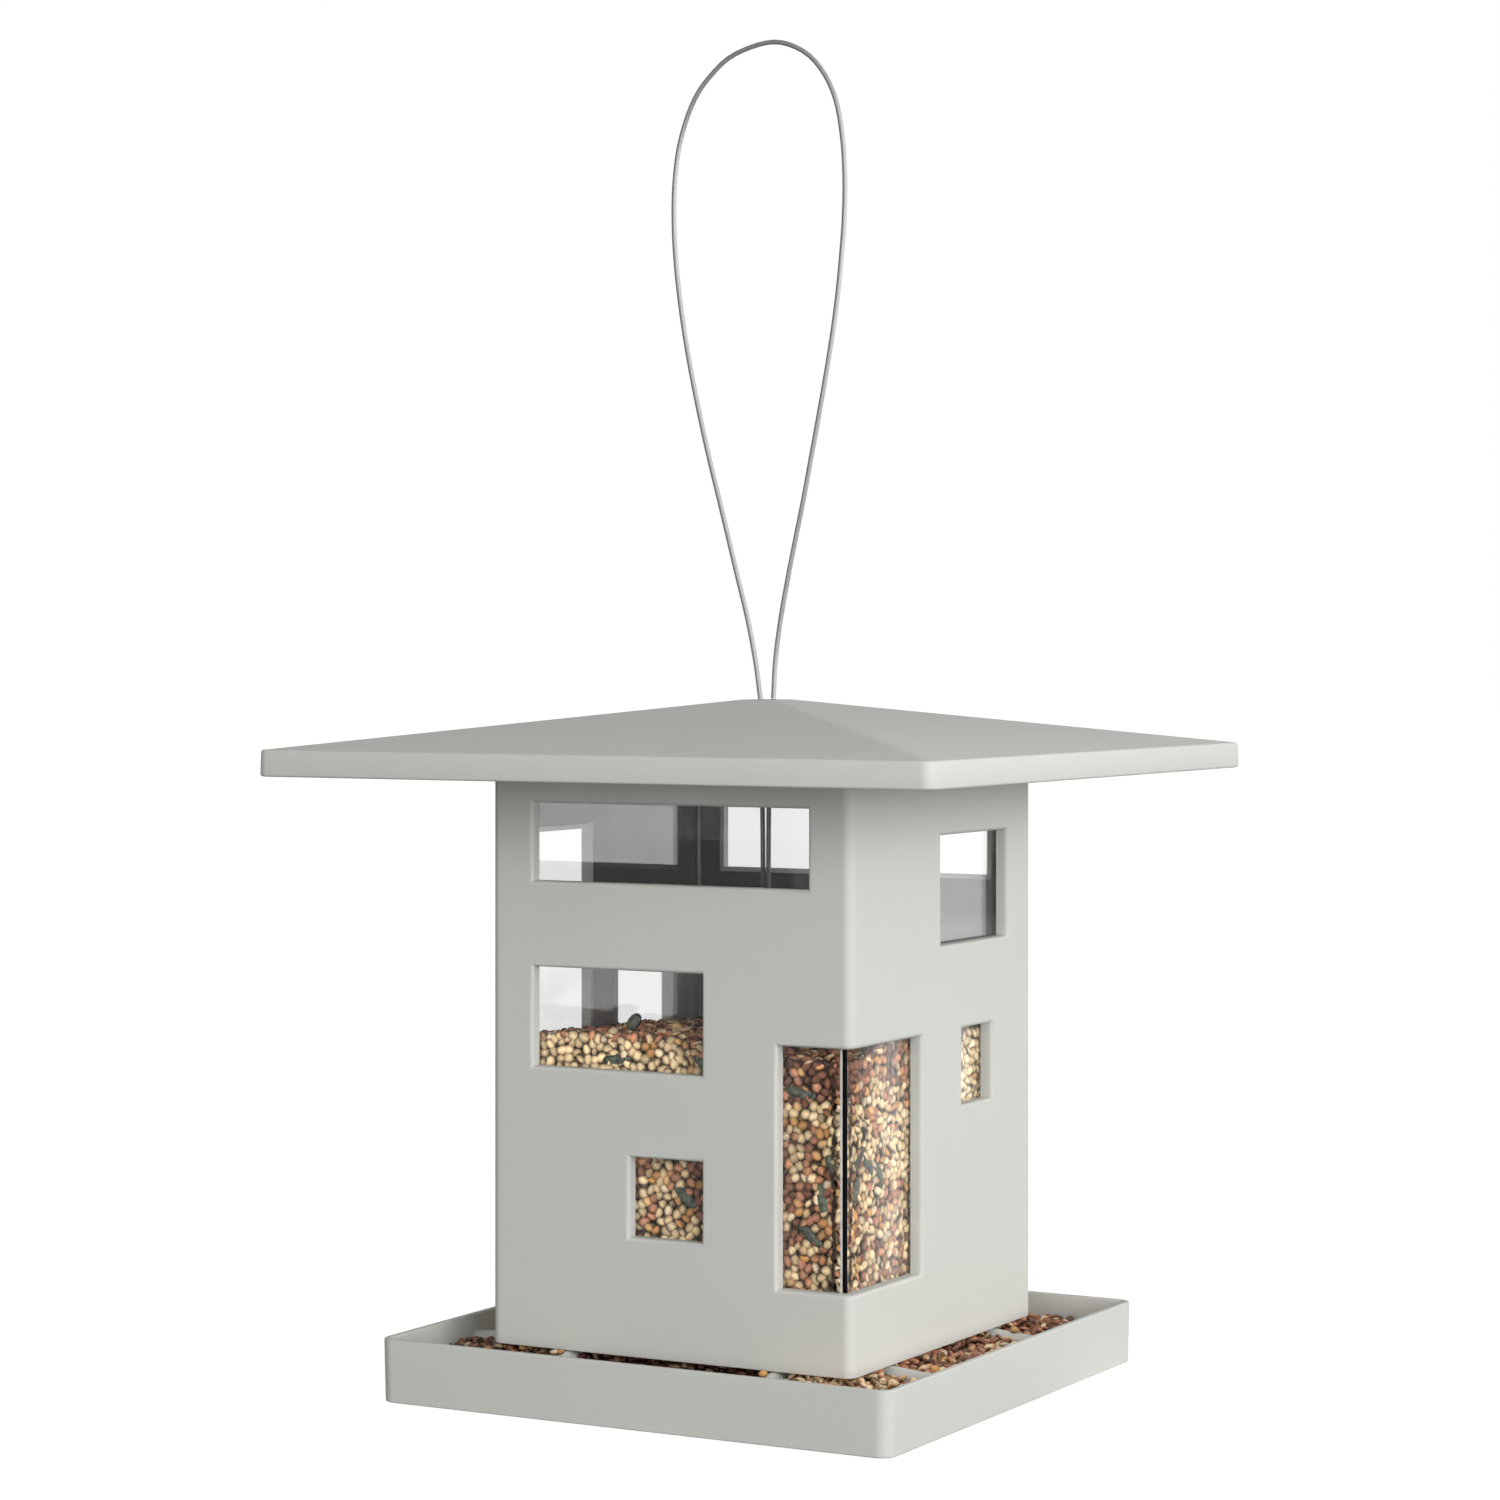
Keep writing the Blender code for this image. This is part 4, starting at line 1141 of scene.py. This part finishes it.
class FEEDER_OT_hopper(bpy.types.Operator):
    """Makes the clear hopper with a lip at each end"""

    bl_idname = "feeder.hopper"
    bl_label = "Hopper"

    def execute(self, context):
        scene = context.scene
        house = scene.feeder_house
        lip = node_half("hopper_liner")
        outer = house.liner_half
        inner = outer - house.liner_wall
        low, high, edge = house.liner_low, house.liner_high, 0.25 * MM
        corner = house.liner_corner
        corners = (
            (inner, low, edge, corner / 2),
            (lip, low, edge, corner),
            (lip, low + house.lip, edge, corner),
            (outer, low + house.lip, edge, corner),
            (outer, high - house.lip, edge, corner),
            (lip, high - house.lip, edge, corner),
            (lip, high, edge, corner),
            (inner, high, edge, corner / 2),
        )
        bm = bmesh.new()
        skin(bm, profile_rings(corners, 8, True), True)
        item = make("hopper_liner_clear", bm, clear_plastic(scene.feeder_looks))
        finish_piece(item, "feeder", "clear_plastic", "hopper_liner")
        # Painted highlight: light strips at the hopper's corners
        glints = make("hopper_corner_seams", self.glints(house), frosted_seam(), weighted=False)
        finish_piece(glints, "feeder", "clear_plastic")
        return {"FINISHED"}

    def glints(self, house):
        """A fine raised strip beside each corner, on the hopper's outer side, that paints the
        corner's highlight.
        """
        bm = bmesh.new()
        last = house.liner_half - house.liner_corner
        first = last - house.seam
        low, high = house.liner_low + 2 * house.lip, house.liner_high - 2 * house.lip
        back, front = 0.05 * MM - house.liner_half, -house.liner_half - 0.06 * MM
        for side in range(QUARTERS):
            spin(bm, block(bm, (first, front, low), (last, back, high), 0.05 * MM), side)
        return bm


class FEEDER_OT_tray(bpy.types.Operator):
    """Makes the tray with its ridges, its studs and the hollow under its raised middle"""

    bl_idname = "feeder.tray"
    bl_label = "Tray"

    def execute(self, context):
        scene = context.scene
        tray = scene.feeder_tray
        plastic = grey_plastic("tray_plastic", scene.feeder_looks)
        item = make("feeding_tray_moulding", self.dish(tray), plastic, weighted=False)
        place = tray.half - tray.wall - tray.drain_inset
        holes = []
        for quarter in range(QUARTERS):
            spot = turned(place, -place, quarter)
            holes.append((spot.x, spot.y, tray.drain, -MM, tray.wall + MM))
        drill(item, holes)
        bm = bmesh.new()
        bm.from_mesh(item.data)
        for quarter in range(QUARTERS):
            for offset in (-tray.ridge_offset, tray.ridge_offset):
                self.ridge(bm, tray, scene.feeder_house, offset, quarter)
                self.stud(bm, tray, scene.feeder_house, offset, quarter)
        bpy.data.objects.remove(item)
        item = make("feeding_tray_moulding", bm, plastic)
        finish_piece(item, "feeder", "tray_plastic", "feeding_tray")
        return {"FINISHED"}

    def dish(self, tray):
        """The dish, its raised middle, the cable hole and the pocket under it, in one skin."""
        rim_half = tray.half + tray.draft
        inner = tray.corner - tray.wall
        slant = (tray.spreader_half - tray.spreader_top) / (tray.ridge_high - tray.wall / 2)
        pocket_high = tray.ridge_high - tray.wall
        pocket_low = tray.spreader_half - tray.wall * math.hypot(1, slant)
        corners = (
            (pocket_low, 0.0, 0.5 * MM, inner),
            (tray.half, 0.0, tray.edge, tray.corner),
            (rim_half, tray.height, tray.edge, tray.corner),
            (rim_half - tray.wall, tray.height, tray.edge, inner),
            (tray.half - tray.wall, tray.wall, 1.5 * MM, inner),
            (tray.spreader_half - slant * tray.wall / 2, tray.wall, 2 * MM, inner),
            (tray.spreader_top, tray.ridge_high, MM, inner / 3),
            (tray.hole, tray.ridge_high, 0.4 * MM, tray.hole),
            (tray.hole, pocket_high, 0.3 * MM, tray.hole),
            (pocket_low - slant * pocket_high, pocket_high, 0.8 * MM, inner / 3),
        )
        bm = bmesh.new()
        skin(bm, profile_rings(corners, 10, True), True)
        return bm

    def ridge(self, bm, tray, house, offset, quarter):
        """One ridge from under the house to the rim; its crest falls outside the house."""
        outer = tray.half - tray.wall / 2
        floor = tray.wall / 2
        sections = ((-tray.ridge_inner, 0.0), (-house.half, 0.0), (-outer, tray.ridge_fall))
        rows = []
        edge = 0.35 * MM
        for y, fall in sections:
            high = tray.ridge_high - fall
            half, crest = tray.ridge_half, tray.crest_half
            row = (
                (offset - half, y, floor),
                (offset - crest - edge, y, high - edge),
                (offset - crest + edge / 2, y, high),
                (offset + crest - edge / 2, y, high),
                (offset + crest + edge, y, high - edge),
                (offset + half, y, floor),
            )
            rows.append(row)
        spin(bm, skin(bm, rows), quarter)

    def stud(self, bm, tray, house, offset, quarter):
        outer = house.liner_half - house.liner_wall - 0.3 * MM
        low = (offset - tray.stud_half, -outer, tray.ridge_high - tray.stud_rise)
        high = (offset + tray.stud_half, tray.stud_depth - outer, tray.ridge_high + tray.stud_rise)
        spin(bm, block(bm, low, high, 0.3 * MM), quarter)


class FEEDER_OT_crimp(bpy.types.Operator):
    """Makes the crimp that joins the cable's ends and the washer above it"""

    bl_idname = "feeder.crimp"
    bl_label = "Crimp"

    def execute(self, context):
        scene = context.scene
        cable, looks = scene.feeder_cable, scene.feeder_looks
        low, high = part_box("cable_ferrule")
        tall = high.z - low.z
        inner = (cable.spread + cable.wire / 2 + cable.slack, cable.wire / 2 + cable.slack)
        rings = []
        steps, dents, dent_share, end_share = 24, 2, 0.16, 0.10
        for step in range(steps + 1):
            along = step / steps
            wave = math.sin(along * 2 * math.pi * dents - math.pi / 2)
            dent = dent_share * max(0.0, wave) ** 2
            end = end_share if step in (0, steps) else 0.0
            depth = cable.ferrule_depth * (1 - dent - end)
            half = cable.ferrule_half * (1 - end * 0.6)
            rings.append(self.oval(half, depth, low.z + tall * along))
        rings += [self.oval(*inner, high.z), self.oval(*inner, low.z)]
        bm = bmesh.new()
        skin(bm, rings, True)
        metal = dull_metal("ferrule_metal", looks, 0.32)
        item = make("cable_ferrule_crimp", bm, metal, sharp=50.0)
        finish_piece(item, "feeder", "ferrule_metal", "cable_ferrule")
        low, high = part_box("cable_washer")
        hole, edge = scene.feeder_tray.hole, 0.25 * MM
        corners = (
            (hole, low.z, edge, hole),
            (cable.washer, low.z, edge, cable.washer),
            (cable.washer, high.z, edge, cable.washer),
            (hole, high.z, edge, hole),
        )
        bm = bmesh.new()
        skin(bm, profile_rings(corners, 12, True), True)
        item = make("cable_washer_disc", bm, dull_metal("washer_steel", looks, 0.26))
        finish_piece(item, "feeder", "washer_steel", "cable_washer")
        return {"FINISHED"}

    def oval(self, half, depth, height):
        """A ring with straight sides and round ends."""
        points = []
        steps = 32
        for step in range(steps):
            turn = 2 * math.pi * (step + 0.5) / steps
            shift = math.copysign(half - depth, math.cos(turn))
            points.append((shift + depth * math.cos(turn), depth * math.sin(turn), height))
        return points


class Grains:
    """Collects seeds and the packed seed under them, then makes one mesh of it all."""

    # The least distance of two grains in pitches, the places tried for each square pitch, and
    # the layers of grains behind the glass
    closest_share = 0.80
    tries = 45
    layers = 2

    # A grain's length in whole grains, its width and height in lengths, and its shade
    lengths = (0.96, 1.14)
    widths = (0.72, 0.88)
    heights = (0.60, 0.72)
    shades = (0.58, 1.15)

    # Kinds of grain: the pick they end at, their first place on the colour scale and their reach
    kinds = ((0.60, 0.08, 0.38), (0.74, 0.54, 0.08), (1.06, 0.66, 0.10), (math.inf, 0.80, 0.06))

    # A husk's kind and shades, and the packed seed's kind, shade and painted shade of the gaps
    husk_kind = 0.97
    husk_shades = (0.8, 1.3)
    packed_look = (0.84, 0.5, 0.9)

    def __init__(self, seed, start, scale=1.0):
        self.seed = seed
        self.grain, self.pitch = seed.grain * scale, seed.pitch * scale
        self.random = np.random.RandomState(start)
        self.places, self.sizes, self.turns, self.looks = [], [], [], []
        self.solid_verts, self.solid_faces = [], []

    def kind(self, place, dark):
        """Which kind of grain lies here: kinds keep together a little."""
        spot = Vector(place)
        drift = noise.noise(spot * 95.0) * 0.34 + noise.noise(spot * 260.0) * 0.25
        pick = self.random.rand() + drift + dark
        first, reach = next(kind[1:] for kind in self.kinds if pick < kind[0])
        return first + reach * self.random.rand()

    def add(self, place, normal, dark=0.0, tilt=0.25, tone=None, shine=1.0, loose=0.0):
        """One grain with its flat side to a surface, pressed to the hopper or loose."""
        rng = self.random
        up = (Vector(normal) + Vector(rng.normal(0, tilt, 3))).normalized()
        side = up.orthogonal()
        side.rotate(Matrix.Rotation(rng.rand() * 2 * math.pi, 3, up))
        if tone is None:
            tone = self.kind(place, dark)
        bulk = self.grain / 2 * rng.uniform(*self.lengths)
        size = (bulk, bulk * rng.uniform(*self.widths), bulk * rng.uniform(*self.heights))
        # shine paints light or shade on the grain: above 1 lighter, below 1 darker
        self.keep(place, side, up, size, (tone, rng.uniform(*self.shades) * shine, loose))

    def husk(self, place, along, normal, scale=1.0, wide=0.34):
        """One long dark seed, lying along a direction."""
        half = self.seed.husk / 2 * scale
        up = Vector(normal).normalized()
        side = (Vector(along) - up * Vector(along).dot(up)).normalized()
        look = (self.husk_kind, self.random.uniform(*self.husk_shades), 1.0)
        self.keep(place, side, up, (half, half * wide, half * 0.20), look)

    def keep(self, place, side, up, size, look):
        """Adds to the lists one seed's place, axes, half sizes and (kind, shade, looseness)."""
        self.places.append(tuple(place))
        self.sizes.append(size)
        self.turns.append((tuple(side), tuple(up.cross(side)), tuple(up)))
        self.looks.append(look)

    def scatter(self, wide, tall, pitch):
        """Uneven places over a rectangle, no two of them too close."""
        near = (self.closest_share * pitch) ** 2
        count = int(self.tries * wide * tall / pitch**2)
        spots = np.empty((0, 2))
        for spot in self.random.rand(count, 2) * (wide, tall):
            if not len(spots) or ((spots - spot) ** 2).sum(axis=1).min() > near:
                spots = np.vstack([spots, spot])
        return spots

    def patch(self, corner, across, up, normal, inside):
        """Layers of grains behind a patch of glass, wherever there is seed."""
        across, up, normal = Vector(across), Vector(up), Vector(normal)
        for layer in range(self.layers):
            for a, b in self.scatter(across.length, up.length, self.pitch):
                deep = self.grain * (0.36 + 0.10 * self.random.rand() + 0.50 * layer)
                along = across.normalized() * a + up.normalized() * b
                place = Vector(corner) + along - normal * deep
                if inside(place):
                    zone = self.zone(place)
                    # Painted shade: the deeper layer is painted darker; grains in pale zones are made
                    # brighter
                    shine = (1.0 - 0.6 * layer) * (1.0 + 0.52 * max(0.0, -zone))
                    self.add(place, self.towards(place, normal), zone, shine=shine)

    def towards(self, place, normal):
        """Grains in the near corner turn to both of its sides."""
        near = min(place.x, -place.y) > self.seed.corner_from
        return Vector((0.55, -0.83, 0)) if near else normal

    def zone(self, place):
        """Where kinds keep together: above 0 is darker, below 0 is paler."""
        total = 0.0
        for x, y, z, reach, dark in SEED_ZONES:
            away = (place - Vector((x, y, z)) * MM).length
            total += dark * max(0.0, 1 - away / (reach * MM))
        return total

    def solid(self, bm):
        """Packed seed that closes the gaps between grains."""
        first = len(self.solid_verts)
        bm.verts.index_update()
        self.solid_verts += [tuple(v.co) for v in bm.verts]
        self.solid_faces += [[first + v.index for v in face.verts] for face in bm.faces]
        bm.free()

    def build(self, name, material, limit):
        """One mesh of every grain, none of it past the walls at a distance from the middle."""
        unit = bmesh.new()
        bmesh.ops.create_uvsphere(unit, u_segments=8, v_segments=6, radius=1.0)
        unit.verts.index_update()
        shape = np.array([(v.co.z, v.co.x, v.co.y) for v in unit.verts])
        faces = [[v.index for v in face.verts] for face in unit.faces]
        unit.free()
        count, corners = len(self.places), len(shape)
        sizes, turns = np.array(self.sizes), np.array(self.turns)
        scaled = shape[None, :, :] * sizes[:, None, :]
        spots = np.einsum("nvk,nkc->nvc", scaled, turns) + np.array(self.places)[:, None, :]
        verts = spots.reshape(-1, 3)
        verts[:, :2] = np.clip(verts[:, :2], -limit, limit)
        tone, tint, loose = np.array(self.looks).T[:, :, None]
        # Painted shade: grains against the glass are painted dark at their sides and backs, loose
        # ones only underneath
        facing = np.clip(shape[None, :, 2], 0, 1)
        pressed = np.clip((0.80 - facing) / 0.44, 0, 0.97)
        laid = np.clip((0.25 - shape[None, :, 2]) / 0.9, 0, 0.85)
        look = np.empty((count, corners, 3))
        look[:, :, 0] = tone
        # Painted highlight: each grain is painted lighter towards the middle of its face, its top
        # when it lies loose
        look[:, :, 1] = tint * (0.76 + 0.62 * facing**2)
        look[:, :, 2] = pressed + (laid - pressed) * loose
        look = look.reshape(-1, 3)
        starts = range(0, count * corners, corners)
        listed = [[i + start for i in face] for start in starts for face in faces]
        if self.solid_verts:
            first = len(verts)
            verts = np.concatenate([verts, np.array(self.solid_verts)])
            listed += [[i + first for i in face] for face in self.solid_faces]
            # The packed seed is painted dark, as shade between the grains
            look = np.concatenate([look, [self.packed_look] * len(self.solid_verts)])
        mesh = bpy.data.meshes.new(name)
        mesh.from_pydata(verts.tolist(), [], listed)
        mesh.materials.append(material)
        mesh.shade_smooth()
        attribute = mesh.attributes.new("seed_look", "FLOAT_VECTOR", "POINT")
        attribute.data.foreach_set("vector", look.astype(np.float32).ravel())
        mesh.update()
        return add_object(name, mesh)


class FEEDER_OT_hopper_seed(bpy.types.Operator):
    """Fills the hopper with mixed seed, grain by grain where it shows"""

    bl_idname = "feeder.hopper_seed"
    bl_label = "Hopper Seed"

    def execute(self, context):
        scene = context.scene
        house, seed = scene.feeder_house, scene.feeder_seed
        half = house.liner_half - house.liner_wall - 0.1 * MM
        grains = Grains(seed, 11)
        self.top(grains, seed, half)
        self.behind_windows(grains, house, seed, half)
        self.husks(grains, seed, half)
        grains.solid(self.packed(seed, half, node_low("hopper_seed")))
        item = grains.build("hopper_seed_mix", seed_mix(seed), half)
        finish_piece(item, "feeder", "mixed_seed", "hopper_seed")
        return {"FINISHED"}

    def height(self, x, y, seed, half):
        """Height of the seed: a mound, a little higher at the right, lower in the near corner."""
        across, depth = x / half, y / half
        mound = seed.mound * (1 - across**2) * (1 - depth**2)
        near = max(across, 0) * max(-depth, 0) ** 2
        wave = noise.noise(Vector((x * 40, y * 40, 0.7))) * MM
        fall = seed.corner_dip * near + seed.back_fall * (depth + 1) / 2
        return seed.level + mound + seed.side_rise * across - fall + wave

    def top(self, grains, seed, half):
        room = half - seed.grain * 0.45
        for a, b in grains.scatter(2 * room, 2 * room, seed.pitch * 1.06):
            x, y = a - room, b - room
            z = self.height(x, y, seed, half) + grains.random.uniform(-0.5, 0.35) * MM
            # Painted light: the top grains are painted half as bright again
            grains.add((x, y, z), UPWARD, dark=0.32, tilt=0.5, shine=1.5, loose=1.0)

    def behind_windows(self, grains, house, seed, half):
        """Grains against the glass wherever a window shows it."""
        margin = 8 * MM
        for side, left, right, low, high in house_windows(house):
            top = min(high + margin, seed.level + 2 * MM)
            low = max(low - margin, house.low + MM)
            if low >= top:
                continue
            left = max(left - margin, -half)
            right = min(right + margin, half)
            if side == 1 and left < -half + margin:
                left = -half
            corner = turned(left, -half, side)
            along = turned(right - left, 0, side)
            normal = turned(0, -1, side)

            def inside(place):
                return place.z < self.height(place.x, place.y, seed, half) + 0.3 * MM

            grains.patch(
                (corner.x, corner.y, low),
                (along.x, along.y, 0),
                (0, 0, top - low),
                (normal.x, normal.y, 0),
                inside,
            )

    def husks(self, grains, seed, half):
        """The long dark seeds that show: (side, across, height, slope) against the glass."""
        table = (
            (0, -22, 110.0, 5), (0, 10.5, 109.5, -35), (0, 55.5, 80, -65), (0, 47.5, 59, -38),
            (0, 52, 70, -80), (0, 44, 103, -10), (0, 3, 68, -40), (1, -50, 82, 50), (1, -44, 80, -38),
            (1, -36, 76, -55), (1, -52, 73, 70), (1, 20, 101, 60), (2, 30, 113, 10), (2, 2, 70, 35),
            (3, -30, 104, 20), (3, 28, 108, -30), (3, 34, 98, 60),
        )
        for side, across, height, slope in table:
            spot = turned(across * MM, -half + 0.9 * MM, side)
            flat = turned(math.cos(math.radians(slope)), 0, side)
            normal = turned(0, -1, side)
            along = (flat.x, flat.y, math.sin(math.radians(slope)))
            grains.husk((spot.x, spot.y, height * MM), along, (normal.x, normal.y, 0))
        grains.husk(Vector((-23.6, -45, 120.6)) * MM, (0.6, 0, 1), (0.3, -1, 0.2), 0.54, 0.68)

    def packed(self, seed, half, low):
        """Packed seed just inside the grains, down to the bottom of the hopper."""
        inner = half - seed.grain * 1.25
        bm = bmesh.new()
        bmesh.ops.create_grid(bm, x_segments=28, y_segments=28, size=inner)
        for vert in bm.verts:
            vert.co.z = self.height(vert.co.x, vert.co.y, seed, half) - seed.grain * 0.5
        deepen(bm, low)
        bmesh.ops.recalc_face_normals(bm, faces=bm.faces)
        return bm


class FEEDER_OT_tray_seed(bpy.types.Operator):
    """Heaps mixed seed in the tray, between its ridges and in its corners"""

    bl_idname = "feeder.tray_seed"
    bl_label = "Tray Seed"

    def execute(self, context):
        scene = context.scene
        tray, seed = scene.feeder_tray, scene.feeder_seed
        material = seed_mix(seed)
        limit = tray.half - tray.wall - 0.1 * MM
        for index, name in enumerate(HEAP_SHARES):
            quarter, in_corner = divmod(index, 2)
            start = 40 + 7 * quarter + in_corner
            grains = Grains(seed, start, 0.95 if name == "right" else 0.80)
            self.heap(grains, tray, scene.feeder_house, name, quarter, in_corner)
            item = grains.build(f"tray_seed_{name}_mix", material, limit)
            finish_piece(item, "feeder", "mixed_seed", f"tray_seed_{name}")
        return {"FINISHED"}

    def heap(self, grains, tray, house, name, quarter, in_corner):
        """One heap, made on the front side and turned round to its place."""
        # The last share is painted light: below 1 it paints the house's shadow on the grains
        at_house, at_rim, dark, shine = HEAP_SHARES[name]
        outer = tray.half - tray.wall - 0.3 * MM
        inner = house.half - 8 * MM
        start = tray.ridge_offset + tray.ridge_half * 0.55

        def height(x, y):
            out = max(-y, x) if in_corner else -y
            share = (out - inner) / (outer - inner)
            wave = noise.noise(Vector((x * 60 + quarter, y * 60, 1.3))) * 1.1 * MM
            heaped = tray.ridge_high * (at_house + (at_rim - at_house) * share) + wave - 0.4 * MM
            bank = heaped + 1.1 * max(0.0, house.half - out)
            return max(heaped, min(bank, tray.ridge_high - 1.2 * MM))

        def slack(z):
            """How near a ridge's middle the seed reaches at a height."""
            rise = (tray.ridge_high - z) / (tray.ridge_high - tray.wall / 2)
            return tray.crest_half + (tray.ridge_half - tray.crest_half) * rise + 0.6 * MM

        low_x = start if in_corner else -tray.ridge_offset
        high_x = outer if in_corner else tray.ridge_offset
        high_y = -start if in_corner else -inner
        edge = grains.grain * 0.42
        round_centre = outer - (tray.corner - tray.wall)
        for a, b in grains.scatter(high_x - low_x, high_y + outer, grains.pitch * 1.04):
            x, y = low_x + a, b - outer
            z = height(x, y) + grains.random.uniform(-0.7, 0.6) * MM
            if in_corner:
                room = x > tray.ridge_offset + slack(z) and -y > tray.ridge_offset + slack(z)
                hidden = x < inner and -y < inner
                past = Vector((max(x - round_centre, 0), max(-y - round_centre, 0)))
                room = room and not hidden and past.length < outer - round_centre - edge
            else:
                room = abs(x) < tray.ridge_offset - slack(z)
            if not room or max(abs(x), abs(y)) > outer - edge:
                continue
            spot = turned(x, y, quarter)
            grains.add((spot.x, spot.y, z), UPWARD, dark, tilt=0.6, shine=shine, loose=1.0)
        grains.solid(self.packed(tray, height, slack, outer, inner, quarter, in_corner))
        self.strays(grains, tray, quarter, name, outer)

    def packed(self, tray, height, slack, outer, inner, quarter, in_corner):
        """The packed seed under the grains of one heap, narrower at its foot between ridges."""
        bm = bmesh.new()
        bmesh.ops.create_grid(bm, x_segments=12, y_segments=12, size=1.0)
        for vert in bm.verts:
            across, out = vert.co.x, (1 - vert.co.y) / 2
            if in_corner:
                near = tray.ridge_offset + tray.ridge_half * 0.75
                x = near + (outer - MM - near) * (across + 1) / 2
                y = -(near + (outer - MM - near) * out)
                if x > outer - 2 * MM and -y > outer - 2 * MM:
                    x, y = outer - 2 * MM, 2 * MM - outer
            else:
                y = -(inner + (outer - MM - inner) * out)
                x = across * (tray.ridge_offset - slack(height(0, y) - MM))
            vert.co = Vector((x, y, height(x, y) - MM))
        for vert in deepen(bm, tray.wall + 0.3 * MM):
            if not in_corner:
                vert.co.x *= 0.76
        spin(bm, bm.verts, quarter)
        bmesh.ops.recalc_face_normals(bm, faces=bm.faces)
        return bm

    def strays(self, grains, tray, quarter, name, outer):
        """Single grains that lie on the ridges, as (heap, across, out, kind)."""
        table = (
            ("front", 36.9, 70.0, 0.60), ("front", 39.1, 71.5, 0.05), ("front", 35.2, 69.2, 0.02),
            ("front", -36.8, 69.5, 0.62), ("front", -38.3, 70.4, 0.12), ("front", -39.6, 71.0, 0.02),
            ("right", -36.4, 84.0, 0.10), ("right", 37.6, 72.0, 0.58), ("back", 37.0, 78.0, 0.3),
        )
        crest_from = 0.0654
        slope = (tray.ridge_high - tray.wall / 2) / (tray.ridge_half - tray.crest_half)
        for heap, across, out, tone in table:
            if heap != name:
                continue
            fall = tray.ridge_fall * (out * MM - crest_from) / (outer - crest_from)
            down = max(0.0, abs(abs(across * MM) - tray.ridge_offset) - tray.crest_half)
            z = tray.ridge_high - fall - down * slope + 0.9 * MM
            spot = turned(across * MM, -out * MM, quarter)
            grains.add((spot.x, spot.y, z), UPWARD, tilt=0.2, tone=tone, loose=1.0)


class FEEDER_PT_panel(bpy.types.Panel):
    """Lists the feeder's pieces."""

    bl_label = "Bird Feeder"
    bl_idname = "FEEDER_PT_panel"
    bl_space_type = "VIEW_3D"
    bl_region_type = "UI"
    bl_category = "Feeder"

    def draw(self, context):
        layout = self.layout
        for operator in PIECES:
            layout.operator(operator.bl_idname)
        for name, group in GROUPS.items():
            column = layout.column(align=True)
            column.label(text=group.__doc__)
            for key in group.__annotations__:
                column.prop(getattr(context.scene, name), key)


PIECES = (
    FEEDER_OT_stage,
    FEEDER_OT_cable,
    FEEDER_OT_roof,
    FEEDER_OT_house,
    FEEDER_OT_hopper,
    FEEDER_OT_tray,
    FEEDER_OT_crimp,
    FEEDER_OT_hopper_seed,
    FEEDER_OT_tray_seed,
)


def register():
    for item in (*GROUPS.values(), *PIECES, FEEDER_PT_panel):
        bpy.utils.register_class(item)
    for name, group in GROUPS.items():
        setattr(bpy.types.Scene, name, bpy.props.PointerProperty(type=group))


def unregister():
    for name in GROUPS:
        delattr(bpy.types.Scene, name)
    for item in (FEEDER_PT_panel, *reversed(PIECES), *reversed(GROUPS.values())):
        bpy.utils.unregister_class(item)


def main():
    register()
    for operator in PIECES:
        group, name = operator.bl_idname.split(".")
        getattr(getattr(bpy.ops, group), name)()


if __name__ == "__main__":
    main()
